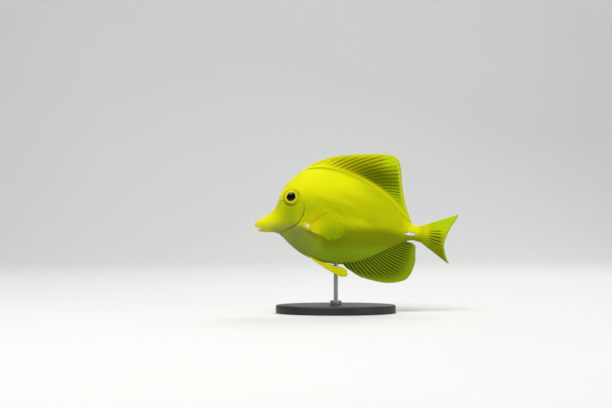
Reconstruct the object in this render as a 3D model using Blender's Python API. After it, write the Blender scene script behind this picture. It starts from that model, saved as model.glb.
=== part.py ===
"""A yellow tang, life size, as a still display model on a small stand.

The fish is drawn in millimetres from its own datum: x runs back from the tip of the snout, z runs up from
the lowest edge of the anal fin, and y is the distance from its middle plane, the left side having y below 0.
Its head points to -X, its back to +Z, and place() moves it above the stand and turns millimetres to metres.
"""

import math

import bmesh
import bpy
from mathutils import Matrix, Vector

MM = 0.001
TOTAL_LENGTH = 149.6
BASE_THICKNESS = 6.0
FIN_CLEARANCE = 16.0
SEAM = 0.3

# The body's side outline and half width, each as (x, value).
BACK = (
    (0.0, 42.4), (0.15, 43.4), (0.7, 44.5), (2.0, 45.6), (4.5, 46.9), (7.5, 48.6), (10.5, 50.5),
    (13.3, 53.0), (15.5, 55.8), (17.2, 60.1), (18.9, 64.9), (21.1, 69.3), (24.4, 73.5), (28.5, 77.3),
    (33.2, 81.2), (37.6, 83.6), (42.0, 84.8), (47.8, 85.2), (55.2, 84.1), (69.8, 79.5), (84.5, 72.5),
    (99.2, 61.8), (109.4, 50.2), (113.1, 45.5), (116.0, 42.9), (119.0, 42.0), (122.8, 42.6),
)
BELLY = (
    (0.0, 42.4), (0.15, 41.6), (0.9, 40.6), (1.9, 39.6), (2.4, 38.7), (3.1, 38.0), (4.5, 37.5), (8.2, 37.3),
    (13.0, 37.3), (17.0, 36.3), (20.0, 34.0), (25.8, 28.2), (33.2, 22.2), (42.0, 17.8), (52.0, 14.9),
    (62.5, 13.7), (72.0, 14.6), (84.5, 18.5), (99.2, 25.1), (109.4, 30.1), (113.1, 31.1),
    (116.0, 31.3), (119.0, 30.5), (122.8, 28.2),
)
HALF_WIDTH = (
    (0.0, 0.0), (0.15, 0.9), (0.7, 1.6), (2.0, 2.3), (4.5, 2.9), (8.0, 3.4), (14.0, 4.6), (19.0, 6.2),
    (24.0, 7.5), (31.0, 8.8), (40.0, 9.7), (50.0, 10.0), (60.0, 9.7), (72.0, 8.7), (84.0, 7.2),
    (96.0, 5.4), (106.0, 4.1), (113.0, 3.4), (118.0, 2.9), (122.8, 1.5),
)
# How far the flanks draw in towards the back and belly, and the height of the widest place, as a share.
DRAWN_IN = ((0.0, 0.0), (10.0, 0.05), (24.0, 0.16), (40.0, 0.36), (70.0, 0.48), (100.0, 0.40), (118.0, 0.2))
WIDEST_AT = ((0.0, 0.0), (14.0, 0.05), (26.0, 0.14), (50.0, 0.06), (90.0, 0.0))

# The gill opening, drawn as x against z, parts the head from the trunk.
GILL_OPENING = (
    (33.0, 9.6), (36.5, 16.7), (38.1, 19.4), (39.8, 23.6), (41.6, 28.0), (44.7, 32.4), (49.1, 35.4),
    (55.0, 37.2), (63.1, 37.6), (71.9, 36.8), (81.9, 34.3), (90.0, 31.5),
)
# The gill cover stands proud of the cheek and the trunk is sunken behind it, both fading out by these levels.
GILL_COVER_LIFT = 0.45
GILL_COVER_RISE = (0.72, 0.93)
GILL_RECESS, GILL_RECESS_RUN = 0.4, 3.0
GILL_FADE_LOW, GILL_FADE_HIGH = (-0.98, -0.7), (0.25, 0.6)
GILL_SEARCH = (12.0, 42.0)
PEDUNCLE_START = 106.5
PEDUNCLE_END = 121.3
TAIL_BASE_BULGE = 1.4

HEAD_ROWS = 30
TRUNK_ROWS = 24
PEDUNCLE_ROWS = 7
BODY_COLUMNS = 40
PEDUNCLE_COLUMNS = 28
# How closely the rows crowd towards the snout and the gill opening.
HEAD_CROWDING, TRUNK_CROWDING = 1.7, 1.15

EYE_X, EYE_Z = 26.8, 63.0
EYE_RADIUS = 5.5
EYE_HALF_DEPTH = 3.3
EYE_STANDS_OUT = 1.4
EYE_FOLLOWS_SKIN = 0.5
ORBIT_RING_RADIUS = 6.3
ORBIT_RING_THICK = 0.5
ORBIT_RING_POINTS = 24
PUPIL_RADIUS, PUPIL_PROUD = 3.3, 0.2
EYE_ROWS, EYE_COLUMNS = 11, 20
NOSTRILS = ((19.9, 60.4, 0.62), (19.4, 58.0, 0.5))
NOSTRIL_DEPTH = 0.9
LIP_THICK, LIP_SINK, LIP_FRONT = 0.55, 0.19, 0.15
UPPER_LIP = ((5.2, 40.2), (4.2, 40.6), (3.0, 41.1), (1.8, 41.6), (0.8, 42.1))
LOWER_LIP = ((5.1, 39.3), (4.4, 38.95), (3.6, 38.85), (2.9, 38.9))
MOUTH_GAP = ((5.1, 39.8), (3.4, 40.5), (1.4, 41.3), (-1.5, 42.4), (-1.5, 39.2), (2.6, 39.2), (3.8, 39.25))
MOUTH_REACH = 8.0

# Each fin's rays: (ray number, x or height of the root, tip x, tip z), with the rays between worked out.
DORSAL_RAYS = (
    (0, 37.2, 41.6, 87.1), (2, 43.4, 57.5, 92.6), (4, 51.5, 71.9, 94.2), (6, 58.7, 89.3, 94.6),
    (7, 62.1, 96.6, 94.5), (8, 65.5, 102.0, 93.0), (9, 68.5, 105.0, 90.6), (10, 71.4, 106.4, 87.2),
    (12, 77.0, 107.5, 80.9), (14, 82.8, 107.9, 74.9), (16, 88.5, 108.5, 69.3), (20, 98.2, 110.3, 59.3),
    (24, 106.0, 112.6, 51.1), (26, 109.8, 113.9, 47.6), (28, 113.1, 115.2, 44.8),
)
DORSAL_SPINES = 5
ANAL_RAYS = (
    (0, 64.7, 68.7, 9.9), (2, 70.2, 78.6, 4.0), (6, 79.4, 98.4, 0.0), (9, 85.3, 109.4, 1.8),
    (12, 90.7, 114.9, 7.7), (16, 98.1, 117.9, 17.6), (20, 105.8, 118.0, 26.5), (22, 110.9, 115.5, 29.5),
)
ANAL_SPINES = 3
CAUDAL_RAYS = (
    (0, 0.93, 149.6, 50.2), (1, 0.87, 149.2, 48.8), (2, 0.79, 148.2, 46.8), (3, 0.69, 146.5, 44.5),
    (5, 0.47, 143.2, 39.2), (7, 0.17, 140.5, 33.7), (9, -0.20, 138.9, 27.6), (11, -0.475, 139.5, 22.4),
    (13, -0.69, 141.0, 17.5), (15, -0.89, 142.9, 13.2),
)
PECTORAL_RAYS = (
    (0, 0.0, 55.9, 52.4), (3, 0.21, 62.1, 50.2), (6, 0.43, 66.2, 45.1), (9, 0.64, 66.2, 38.5),
    (12, 0.86, 61.0, 33.0), (14, 1.0, 53.0, 31.5),
)
PECTORAL_ROOT = ((41.6, 43.6), (44.5, 37.0))
PECTORAL_ROOT_SLANT, PECTORAL_ROOT_RUN = 0.5, 2.0
PECTORAL_LEAN, PECTORAL_CURL = 0.58, 0.006
PECTORAL_CLEAR = 0.15
POCKET_PAST, POCKET_RUN, POCKET_DEPTH = 3.0, 14.0, 9.0
PELVIC_RAYS = (
    (0, 38.6, 63.2, 4.8), (1, 39.6, 66.2, 4.9), (2, 40.6, 68.0, 6.7), (3, 41.6, 67.3, 9.2),
    (4, 42.6, 64.0, 11.3), (5, 43.4, 58.8, 12.4),
)
PELVIC_ROOT_Y = 1.9
PELVIC_LEAN = 0.13
PELVIC_TUCK = 1.4
CAUDAL_CUP, CAUDAL_MIDDLE_Z, CAUDAL_HALF_SPAN = 3.0, 32.0, 18.5

# Half thickness of each fin's web at the root and edge, how proud its rays stand there, and its rows.
DORSAL_GAUGE = (0.75, 0.27, 0.24, 0.12, 5)
ANAL_GAUGE = (0.70, 0.27, 0.24, 0.12, 5)
CAUDAL_GAUGE = (0.95, 0.27, 0.24, 0.12, 5)
PECTORAL_GAUGE = (0.62, 0.27, 0.15, 0.08, 5)
PELVIC_GAUGE = (0.60, 0.27, 0.22, 0.10, 5)
RAY_BOW = 0.035
RAY_HALF_SHARE = 0.26
SLOPE_STEP = 0.1

# The fleshy stalk of the pectoral fin, and the white blade on each side of the tail stalk.
STALK_FRONT, STALK_BACK = (33.6, 43.3), (46.0, 38.4)
STALK_HALF_HEIGHT, STALK_HALF_DEPTH = 3.1, 2.3
BLADE_TIP_X, BLADE_BASE_X, BLADE_Z = 109.6, 117.2, 35.9
BLADE_HALF_HEIGHT, BLADE_HALF_DEPTH = 1.1, 0.9
BLADE_POINT_SHARE, BLADE_FULL_AT, BLADE_STANDS_OUT = 0.35, 0.35, 0.25

BASE_HALF_LENGTH, BASE_HALF_WIDTH = 44.0, 27.0
BASE_BEVEL = 1.2
BASE_SIDES = 40
ROD_X = 59.4
ROD_RADIUS = 1.5
ROD_SINK = 5.0
ROD_SIDES = 24
COLLAR_RADIUS = 4.2
COLLAR_HEIGHT = 3.0
CUTTER_PAST = 2.0


def smooth(points):
    """A curve through points that keeps their rises and falls, as a function of the first coordinate."""
    xs = [p[0] for p in points]
    ys = [p[1] for p in points]
    slopes = [(ys[i + 1] - ys[i]) / (xs[i + 1] - xs[i]) for i in range(len(xs) - 1)]
    tangents = [slopes[0]]
    for before, after in zip(slopes, slopes[1:]):
        tangents.append(0.0 if before * after <= 0 else 2 * before * after / (before + after))
    tangents.append(slopes[-1])

    def value(x):
        x = min(max(x, xs[0]), xs[-1])
        i = max(k for k in range(len(xs) - 1) if xs[k] <= x)
        width = xs[i + 1] - xs[i]
        t = (x - xs[i]) / width
        rise = ys[i] * (2 * t**3 - 3 * t**2 + 1) + ys[i + 1] * (3 * t**2 - 2 * t**3)
        return rise + width * (tangents[i] * (t**3 - 2 * t**2 + t) + tangents[i + 1] * (t**3 - t**2))

    return value


back, belly, half_width = smooth(BACK), smooth(BELLY), smooth(HALF_WIDTH)
drawn_in, widest_at, gill_opening = smooth(DRAWN_IN), smooth(WIDEST_AT), smooth(GILL_OPENING)


def ease(low, high, value):
    """0 below low, 1 above high, and a smooth step between."""
    t = min(max((value - low) / (high - low), 0.0), 1.0)
    return t * t * (3 - 2 * t)


def place(x, y, z):
    """A point of the fish, in millimetres from its datum, as a point of the model in metres."""
    return Vector((x - TOTAL_LENGTH / 2, y, z + BASE_THICKNESS + FIN_CLEARANCE)) * MM


def height(x, level):
    """The z of a place on the body at x, where level runs from -1 at the belly to 1 at the back."""
    return (back(x) + belly(x)) / 2 + level * (back(x) - belly(x)) / 2


def flank(x, level):
    """The body's half width at x and level: a rounded lens whose flanks draw in to a blunt back and belly."""
    widest = widest_at(x)
    t = (level - widest) / (1 - widest) if level > widest else (widest - level) / (1 + widest)
    t = min(abs(t), 1.0)
    return half_width(x) * math.sqrt(1 - t * t) * (1 - drawn_in(x) * t * t)


def flank_at(x, z):
    """The body's half width at x and z."""
    middle = (back(x) + belly(x)) / 2
    return flank(x, max(-1.0, min(1.0, (z - middle) / ((back(x) - belly(x)) / 2))))


def underside_at(x, y):
    """The height of the body's underside at x, a distance y from the middle plane."""
    low, high = -1.0, widest_at(x)
    for _ in range(30):
        level = (low + high) / 2
        if flank(x, level) < y:
            low = level
        else:
            high = level
    return height(x, high)


def behind_gill(x, level, gap):
    """How far x lies behind the gill opening at a level, less the seam."""
    z = height(x, level)
    slope = gill_opening(z + 0.5) - gill_opening(z - 0.5)
    return x - gill_opening(z) - gap * math.hypot(1.0, slope)


def gill_x(level, gap=0.0):
    """The x at which a line of constant level crosses the gill opening."""
    low, high = GILL_SEARCH
    for _ in range(40):
        x = (low + high) / 2
        if behind_gill(x, level, gap) < 0:
            low = x
        else:
            high = x
    return high


def material(name, colour, roughness, metallic=0.0):
    made = bpy.data.materials.new(name)
    made.use_nodes = True
    shader = made.node_tree.nodes["Principled BSDF"]
    shader.inputs["Base Color"].default_value = (*colour, 1.0)
    shader.inputs["Roughness"].default_value = roughness
    shader.inputs["Metallic"].default_value = metallic
    return made


def node(name, mesh_maker, finish, collection):
    """An object made from a bmesh, with its faces pointing out, in a collection."""
    mesh = bpy.data.meshes.new(name)
    mesh_maker.normal_update()
    bmesh.ops.recalc_face_normals(mesh_maker, faces=mesh_maker.faces)
    mesh_maker.to_mesh(mesh)
    mesh_maker.free()
    made = bpy.data.objects.new(name, mesh)
    if finish is not None:
        mesh.materials.append(finish)
    mesh.shade_smooth()
    collection.objects.link(made)
    return made


def body_length(name, rows, columns, point, finish, collection, pointed=False):
    """A length of the body: rings of points joined into a skin, closed by ladders of faces or at a point.

    point(share, level, side) gives a point on a row, for a level from -1 to 1 and a side of -1 or 1.
    """
    bm = bmesh.new()
    rings = []
    for row in range(1 if pointed else 0, rows + 1):
        ring = []
        for column in range(columns):
            angle = 2 * math.pi * column / columns
            side = 0 if column in (0, columns // 2) else math.copysign(1, math.sin(angle))
            ring.append(bm.verts.new(point(row / rows, math.cos(angle), side)))
        rings.append(ring)
    for ring, following in zip(rings, rings[1:]):
        for column in range(columns):
            after = (column + 1) % columns
            bm.faces.new((ring[column], ring[after], following[after], following[column]))
    if pointed:
        tip = bm.verts.new(point(0.0, 0.0, 0))
        for column in range(columns):
            bm.faces.new((tip, rings[0][column], rings[0][(column + 1) % columns]))
    for ring in (rings[-1],) if pointed else (rings[0], rings[-1]):
        for column in range(columns // 2):
            across, before = columns - column - 1, (columns - column) % columns
            rung = [ring[column], ring[column + 1], ring[across], ring[before]]
            bm.faces.new(list(dict.fromkeys(rung)))
    bmesh.ops.triangulate(bm, faces=bm.faces)
    return node(name, bm, finish, collection)


def head_point(share, level, side):
    """The head, from the snout to the gill opening, whose cover stands a little proud of the trunk."""
    end = gill_x(level)
    x = end * share**HEAD_CROWDING
    lift = GILL_COVER_LIFT * ease(*GILL_COVER_RISE, share) * ease(*GILL_FADE_LOW, level)
    lift *= 1 - ease(*GILL_FADE_HIGH, level)
    return place(x, side * (flank(x, level) + lift), height(x, level))


def trunk_point(share, level, side):
    """The trunk, from the gill opening to the tail stalk, a little sunken just behind the gill cover."""
    start = gill_x(level, SEAM)
    x = start + (PEDUNCLE_START - start) * share**TRUNK_CROWDING
    sunken = GILL_RECESS * math.exp(-(((x - start) / GILL_RECESS_RUN) ** 2))
    sunken *= 1 - ease(*GILL_FADE_HIGH, level)
    return place(x, side * max(flank(x, level) - sunken, 0.0), height(x, level))


def stalk_end(level):
    """The rounded end of the tail stalk, where the tail fin grows."""
    return PEDUNCLE_END + TAIL_BASE_BULGE * (1 - level * level)


def peduncle_point(share, level, side):
    start = PEDUNCLE_START + SEAM
    x = start + (stalk_end(level) - start) * share
    return place(x, side * flank(x, level), height(x, level))


def bounded_rays(table):
    """For each ray of a fin, its root value and its tip, on smooth runs between the named rays."""
    root, tip_x, tip_z = (smooth([(row[0], row[k]) for row in table]) for k in (1, 2, 3))
    return [(root(i), tip_x(i), tip_z(i)) for i in range(table[-1][0] + 1)]


def fin(name, rays, gauge, sway, finish, collection, bow=RAY_BOW, side=1, full_webs=True):
    """A fin: a web that thins to its edge, with a ridge along each ray, alike on both faces.

    rays holds the root and the tip of each ray, as (x, z), and sway(x, z) its distance from the middle plane.
    """
    web_root, web_edge, proud_root, proud_edge, rows = gauge
    lines = []
    for root, tip in rays:
        along = Vector(tip) - Vector(root)
        across = Vector((-along.y, along.x)) * bow
        shares = [r / rows for r in range(rows + 1)]
        lines.append([Vector(root) + along * t + across * 4 * t * (1 - t) for t in shares])
    columns = []
    for i, line in enumerate(lines):
        columns.append((line, 1.0))
        if i + 1 == len(lines):
            break
        shares = (RAY_HALF_SHARE, 1 - RAY_HALF_SHARE) if full_webs else (0.5,)
        for share in shares:
            columns.append(([a.lerp(b, share) for a, b in zip(line, lines[i + 1])], 0.0))
    bm = bmesh.new()
    faces_of = {-1: [], 1: []}
    for line, ridge in columns:
        for face in (-1, 1):
            column = []
            for r, (x, z) in enumerate(line):
                t = r / rows
                thick = web_root + (web_edge - web_root) * t
                thick += ridge * (proud_root + (proud_edge - proud_root) * t)
                slope_x = (sway(x + SLOPE_STEP, z) - sway(x - SLOPE_STEP, z)) / (2 * SLOPE_STEP)
                slope_z = (sway(x, z + SLOPE_STEP) - sway(x, z - SLOPE_STEP)) / (2 * SLOPE_STEP)
                out = Vector((-slope_x, 1.0, -slope_z)).normalized() * thick * face
                column.append(bm.verts.new(place(x + out.x, side * (sway(x, z) + out.y), z + out.z)))
            faces_of[face].append(column)
    last = len(columns) - 1
    for face in (-1, 1):
        grid = faces_of[face]
        for c in range(last):
            for r in range(rows):
                bm.faces.new((grid[c][r], grid[c + 1][r], grid[c + 1][r + 1]))
                bm.faces.new((grid[c][r], grid[c + 1][r + 1], grid[c][r + 1]))
    one, other = faces_of[-1], faces_of[1]
    for c in range(last):
        for r in (0, rows):
            bm.faces.new((one[c][r], one[c + 1][r], other[c + 1][r], other[c][r]))
    for c in (0, last):
        for r in range(rows):
            bm.faces.new((one[c][r], one[c][r + 1], other[c][r + 1], other[c][r]))
    bmesh.ops.triangulate(bm, faces=[f for f in bm.faces if len(f.verts) > 3])
    return node(name, bm, finish, collection)


def ellipsoid(name, centre, half_sizes, turn, collection, segments=20, rings=12):
    """A ball stretched to three half sizes and turned about Y, used as a piece or a cutter."""
    bm = bmesh.new()
    bmesh.ops.create_uvsphere(bm, u_segments=segments, v_segments=rings, radius=1.0)
    size = Matrix.Diagonal((*[h * MM for h in half_sizes], 1.0))
    bm.transform(Matrix.Translation(place(*centre)) @ Matrix.Rotation(turn, 4, "Y") @ size)
    return node(name, bm, None, collection)


def drawn_plate(name, outline, near, far, collection):
    """A flat outline in x and z, run across the body from y = near to y = far."""
    bm = bmesh.new()
    face = bm.faces.new([bm.verts.new(place(x, near, z)) for x, z in outline])
    run = bmesh.ops.extrude_face_region(bm, geom=[face])
    moved = [v for v in run["geom"] if isinstance(v, bmesh.types.BMVert)]
    bmesh.ops.translate(bm, verts=moved, vec=(0.0, (far - near) * MM, 0.0))
    return node(name, bm, None, collection)


def tube(name, points, thick, collection, shut=False):
    """A round bar along points given in metres, as a closed mesh."""
    curve = bpy.data.curves.new(name, "CURVE")
    curve.dimensions = "3D"
    curve.bevel_depth = thick
    curve.bevel_resolution = 2
    curve.use_fill_caps = not shut
    line = curve.splines.new("POLY")
    line.points.add(len(points) - 1)
    line.use_cyclic_u = shut
    for end, point in zip(line.points, points):
        end.co = (*point, 1.0)
    guide = bpy.data.objects.new(name + "_line", curve)
    collection.objects.link(guide)
    graph = bpy.context.evaluated_depsgraph_get()
    mesh = bpy.data.meshes.new_from_object(guide.evaluated_get(graph))
    bpy.data.objects.remove(guide)
    bm = bmesh.new()
    bm.from_mesh(mesh)
    bmesh.ops.remove_doubles(bm, verts=bm.verts, dist=1e-6)
    bpy.data.meshes.remove(mesh)
    return node(name, bm, None, collection)


def combine(target, operation, pieces):
    """Joins a collection of closed pieces to the target, or cuts it with them, and removes them."""
    change = target.modifiers.new(operation.lower(), "BOOLEAN")
    change.operation = operation
    change.operand_type = "COLLECTION"
    change.collection = pieces
    change.solver = "EXACT"
    graph = bpy.context.evaluated_depsgraph_get()
    mesh = bpy.data.meshes.new_from_object(target.evaluated_get(graph))
    target.modifiers.clear()
    target.data = mesh
    for piece in list(pieces.objects):
        bpy.data.objects.remove(piece)
    bpy.data.collections.remove(pieces)
    keep_largest(target)
    mesh.shade_smooth()


def keep_largest(target):
    """Leaves only the largest closed surface of a mesh."""
    bm = bmesh.new()
    bm.from_mesh(target.data)
    unseen, groups = set(bm.verts), []
    while unseen:
        group, edge_of_group = set(), [unseen.pop()]
        while edge_of_group:
            vert = edge_of_group.pop()
            group.add(vert)
            for edge in vert.link_edges:
                other = edge.other_vert(vert)
                if other in unseen:
                    unseen.discard(other)
                    edge_of_group.append(other)
        groups.append(group)
    groups.sort(key=len)
    bmesh.ops.delete(bm, geom=[v for group in groups[:-1] for v in group], context="VERTS")
    bm.to_mesh(target.data)
    bm.free()


def gathering(name):
    """A collection for pieces to be joined or for cutters."""
    made = bpy.data.collections.new(name)
    bpy.context.scene.collection.children.link(made)
    return made


def eye_frame(side):
    """The middle of an eye's ball and the turn that points its axis square to the head's surface."""
    reach = flank_at(EYE_X, EYE_Z)
    slope_x = (flank_at(EYE_X + 1, EYE_Z) - flank_at(EYE_X - 1, EYE_Z)) / 2
    slope_z = (flank_at(EYE_X, EYE_Z + 1) - flank_at(EYE_X, EYE_Z - 1)) / 2
    out = Vector((-slope_x * EYE_FOLLOWS_SKIN, side, -slope_z * EYE_FOLLOWS_SKIN)).normalized()
    surface = place(EYE_X, side * reach, EYE_Z)
    centre = surface + out * (EYE_STANDS_OUT - EYE_HALF_DEPTH) * MM
    return centre, surface, out.to_track_quat("Z", "Y").to_matrix().to_4x4()


def lens(name, side, grow, finish, collection):
    """An eyeball as a turned lens with a raised pupil disc, or its socket when it is grown by the seam."""
    centre, _, turn = eye_frame(side)
    radius, depth = EYE_RADIUS + grow, EYE_HALF_DEPTH + grow
    profile = []
    for i in range(EYE_ROWS + 1):
        angle = math.pi * i / EYE_ROWS
        out, up = radius * math.sin(angle), depth * math.cos(angle)
        profile.append((max(out, 0.0), up))
    if grow == 0:
        across = [PUPIL_RADIUS * share for share in (0.0, 0.5, 0.95, 1.0)]
        disc = [(out, depth * math.sqrt(1 - (out / radius) ** 2) + PUPIL_PROUD) for out in across]
        disc[-1] = (PUPIL_RADIUS, disc[-1][1] - PUPIL_PROUD)
        profile = disc + [(out, up) for out, up in profile if up < disc[-1][1]]
    bm = bmesh.new()
    verts = [bm.verts.new((out * MM, 0.0, up * MM)) for out, up in profile]
    edges = [bm.edges.new(pair) for pair in zip(verts, verts[1:])]
    bmesh.ops.spin(bm, geom=verts + edges, cent=(0, 0, 0), axis=(0, 0, 1), angle=2 * math.pi,
                   steps=EYE_COLUMNS, use_merge=True, use_duplicate=False)
    bmesh.ops.remove_doubles(bm, verts=bm.verts, dist=1e-6)
    bm.transform(Matrix.Translation(centre) @ turn)
    return node(name, bm, finish, collection)


def orbit_ring(name, side, collection):
    """The raised rim of skin round an eye, as a ring square to the head's surface."""
    _, surface, turn = eye_frame(side)
    ring = [Vector((ORBIT_RING_RADIUS * math.cos(a), ORBIT_RING_RADIUS * math.sin(a), 0.0)) * MM
            for a in (2 * math.pi * i / ORBIT_RING_POINTS for i in range(ORBIT_RING_POINTS))]
    points = []
    for place_on_ring in ring:
        point = surface + turn.to_3x3() @ place_on_ring
        x, z = point.x / MM + TOTAL_LENGTH / 2, point.z / MM - BASE_THICKNESS - FIN_CLEARANCE
        points.append(place(x, side * flank_at(x, z), z))
    return tube(name, points, ORBIT_RING_THICK * MM, collection, shut=True)


def lip(name, corner_to_front, collection):
    """A lip: a bar that follows the edge of the mouth from one corner round the front to the other."""
    half = [place(x, -flank_at(x, z) + LIP_SINK, z) for x, z in corner_to_front]
    front_x, front_z = corner_to_front[-1]
    middle = place(front_x - LIP_FRONT, 0.0, front_z)
    mirrored = [Vector((p.x, -p.y, p.z)) for p in reversed(half)]
    return tube(name, half + [middle] + mirrored, LIP_THICK * MM, collection)


def make_head(finish, collection):
    head = body_length("head", HEAD_ROWS, BODY_COLUMNS, head_point, finish, collection, pointed=True)
    added = gathering("head_added")
    for side in (-1, 1):
        orbit_ring(f"ring_{side}", side, added)
    combine(head, "UNION", added)
    cut = gathering("head_cut")
    drawn_plate("mouth_gap", MOUTH_GAP, -MOUTH_REACH, MOUTH_REACH, cut)
    for side in (-1, 1):
        lens(f"socket_{side}", side, SEAM, None, cut)
        for x, z, radius in NOSTRILS:
            centre = (x, side * flank_at(x, z), z)
            sizes = (radius, NOSTRIL_DEPTH, radius)
            ellipsoid(f"nostril_{side}_{z}", centre, sizes, 0.0, cut, segments=10, rings=6)
    combine(head, "DIFFERENCE", cut)
    added = gathering("head_lips")
    lip("lip_above", UPPER_LIP, added)
    lip("lip_below", LOWER_LIP, added)
    combine(head, "UNION", added)


def make_trunk(finish, collection):
    trunk = body_length("trunk", TRUNK_ROWS, BODY_COLUMNS, trunk_point, finish, collection)
    added = gathering("trunk_added")
    middle_x = (STALK_FRONT[0] + STALK_BACK[0]) / 2
    middle_z = (STALK_FRONT[1] + STALK_BACK[1]) / 2
    run = math.hypot(STALK_BACK[0] - STALK_FRONT[0], STALK_BACK[1] - STALK_FRONT[1])
    fall = math.atan2(STALK_FRONT[1] - STALK_BACK[1], STALK_BACK[0] - STALK_FRONT[0])
    for side in (-1, 1):
        centre = (middle_x, side * flank_at(middle_x, middle_z), middle_z)
        sizes = (run / 2, STALK_HALF_DEPTH, STALK_HALF_HEIGHT)
        ellipsoid(f"fin_stalk_{side}", centre, sizes, fall, added)
    combine(trunk, "UNION", added)
    cut = gathering("trunk_cut")
    near = pectoral_sway(*PECTORAL_ROOT[0]) - PECTORAL_GAUGE[0] - PECTORAL_GAUGE[2] - SEAM
    for side in (-1, 1):
        drawn_plate(f"pocket_{side}", pectoral_pocket(), side * near, side * (near + POCKET_DEPTH), cut)
    rod_hole = (ROD_X, 0.0, belly(ROD_X) - CUTTER_PAST)
    cylinder("rod_hole", rod_hole, ROD_RADIUS + SEAM, CUTTER_PAST + ROD_SINK + SEAM, None, cut)
    combine(trunk, "DIFFERENCE", cut)


def pectoral_pocket():
    """The outline, in x and z, of what the root of the pectoral fin takes out of its fleshy stalk."""
    top, low = (Vector(end) for end in PECTORAL_ROOT)
    down = (low - top).normalized()
    ahead = Vector((down.y, -down.x)) * SEAM
    past = down * POCKET_PAST
    behind_top, behind_low = Vector((POCKET_RUN, POCKET_PAST)), Vector((POCKET_RUN, -POCKET_PAST))
    return top - past + ahead, low + past + ahead, low + behind_low, top + behind_top


def make_peduncle(finish, collection):
    peduncle = body_length("tail_stalk", PEDUNCLE_ROWS, PEDUNCLE_COLUMNS, peduncle_point, finish, collection)
    cut = gathering("stalk_cut")
    for side in (-1, 1):
        blade(f"groove_{side}", side, SEAM, None, cut)
    combine(peduncle, "DIFFERENCE", cut)


def blade(name, side, grow, finish, collection):
    """The hinged blade of the tail stalk, a flat thorn that points forward, or its groove when grown."""
    middle = (BLADE_TIP_X + BLADE_BASE_X) / 2
    half = (BLADE_BASE_X - BLADE_TIP_X) / 2
    bm = bmesh.new()
    bmesh.ops.create_uvsphere(bm, u_segments=14, v_segments=10, radius=1.0)
    bmesh.ops.rotate(bm, verts=bm.verts, cent=(0, 0, 0), matrix=Matrix.Rotation(math.pi / 2, 3, "Y"))
    for vert in bm.verts:
        x, y, z = vert.co
        full = BLADE_POINT_SHARE + (1 - BLADE_POINT_SHARE) * ease(-1.0, BLADE_FULL_AT, x)
        reach = flank_at(middle + half * x, BLADE_Z)
        vert.co = place(
            middle + (half + grow) * x,
            side * (reach + BLADE_STANDS_OUT) + y * (BLADE_HALF_DEPTH * full + grow),
            BLADE_Z + z * (BLADE_HALF_HEIGHT * full + grow),
        )
    return node(name, bm, finish, collection)


def pectoral_sway(x, z):
    """How far the pectoral fin stands from the middle plane, as it swings out from the flank."""
    (top_x, top_z), (low_x, low_z) = PECTORAL_ROOT
    root_x = top_x + (low_x - top_x) * (top_z - z) / (top_z - low_z) * PECTORAL_ROOT_SLANT
    along = max(x - min(root_x, top_x + PECTORAL_ROOT_RUN), 0.0)
    start = flank_at(top_x, top_z) + PECTORAL_GAUGE[0] + PECTORAL_GAUGE[2] + SEAM + PECTORAL_CLEAR
    return start + PECTORAL_LEAN * along - PECTORAL_CURL * along**2


def pelvic_sway(x, z):
    return PELVIC_ROOT_Y + PELVIC_LEAN * (x - PELVIC_RAYS[0][1])


def caudal_sway(x, z):
    """The tail fin is cupped: both its lobes trail a little to the right, as in a stroke to the left."""
    back_share = max(x - PEDUNCLE_END, 0.0) / (TOTAL_LENGTH - PEDUNCLE_END)
    return CAUDAL_CUP * (back_share * (z - CAUDAL_MIDDLE_Z) / CAUDAL_HALF_SPAN) ** 2


def flat(x, z):
    return 0.0


def make_fins(finish, collection):
    dorsal = [((x, back(x) + SEAM), (tx, tz)) for x, tx, tz in bounded_rays(DORSAL_RAYS)]
    fin("dorsal_fin", dorsal, DORSAL_GAUGE, flat, finish, collection)
    anal = [((x, belly(x) - SEAM), (tx, tz)) for x, tx, tz in bounded_rays(ANAL_RAYS)]
    fin("anal_fin", anal, ANAL_GAUGE, flat, finish, collection, bow=-RAY_BOW)
    caudal = []
    for level, tip_x, tip_z in bounded_rays(CAUDAL_RAYS):
        x = stalk_end(level)
        caudal.append(((x + SEAM, height(x, level)), (tip_x, tip_z)))
    fin("caudal_fin", caudal, CAUDAL_GAUGE, caudal_sway, finish, collection, bow=0.0)
    (top_x, top_z), (low_x, low_z) = PECTORAL_ROOT
    pectoral = [
        ((top_x + (low_x - top_x) * share, top_z + (low_z - top_z) * share), (tip_x, tip_z))
        for share, tip_x, tip_z in bounded_rays(PECTORAL_RAYS)
    ]
    pelvic = []
    for x, tip_x, tip_z in bounded_rays(PELVIC_RAYS):
        root_y = pelvic_sway(x, 0.0) + PELVIC_GAUGE[0] + PELVIC_GAUGE[2]
        pelvic.append(((x, underside_at(x, root_y - PELVIC_TUCK) - SEAM), (tip_x, tip_z)))
    for side, word in ((-1, "left"), (1, "right")):
        fin(f"pectoral_fin_{word}", pectoral, PECTORAL_GAUGE, pectoral_sway, finish, collection,
            side=side, full_webs=False)
        fin(f"pelvic_fin_{word}", pelvic, PELVIC_GAUGE, pelvic_sway, finish, collection,
            bow=-RAY_BOW, side=side)


def cylinder(name, foot, radius, tall, finish, collection, sides=ROD_SIDES):
    """An upright round bar whose foot is at a point given in fish millimetres."""
    bm = bmesh.new()
    wide, deep = radius * MM, tall * MM
    bmesh.ops.create_cone(bm, cap_ends=True, segments=sides, radius1=wide, radius2=wide, depth=deep)
    bmesh.ops.translate(bm, verts=bm.verts, vec=place(*foot) + Vector((0, 0, deep / 2)))
    return node(name, bm, finish, collection)


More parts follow.
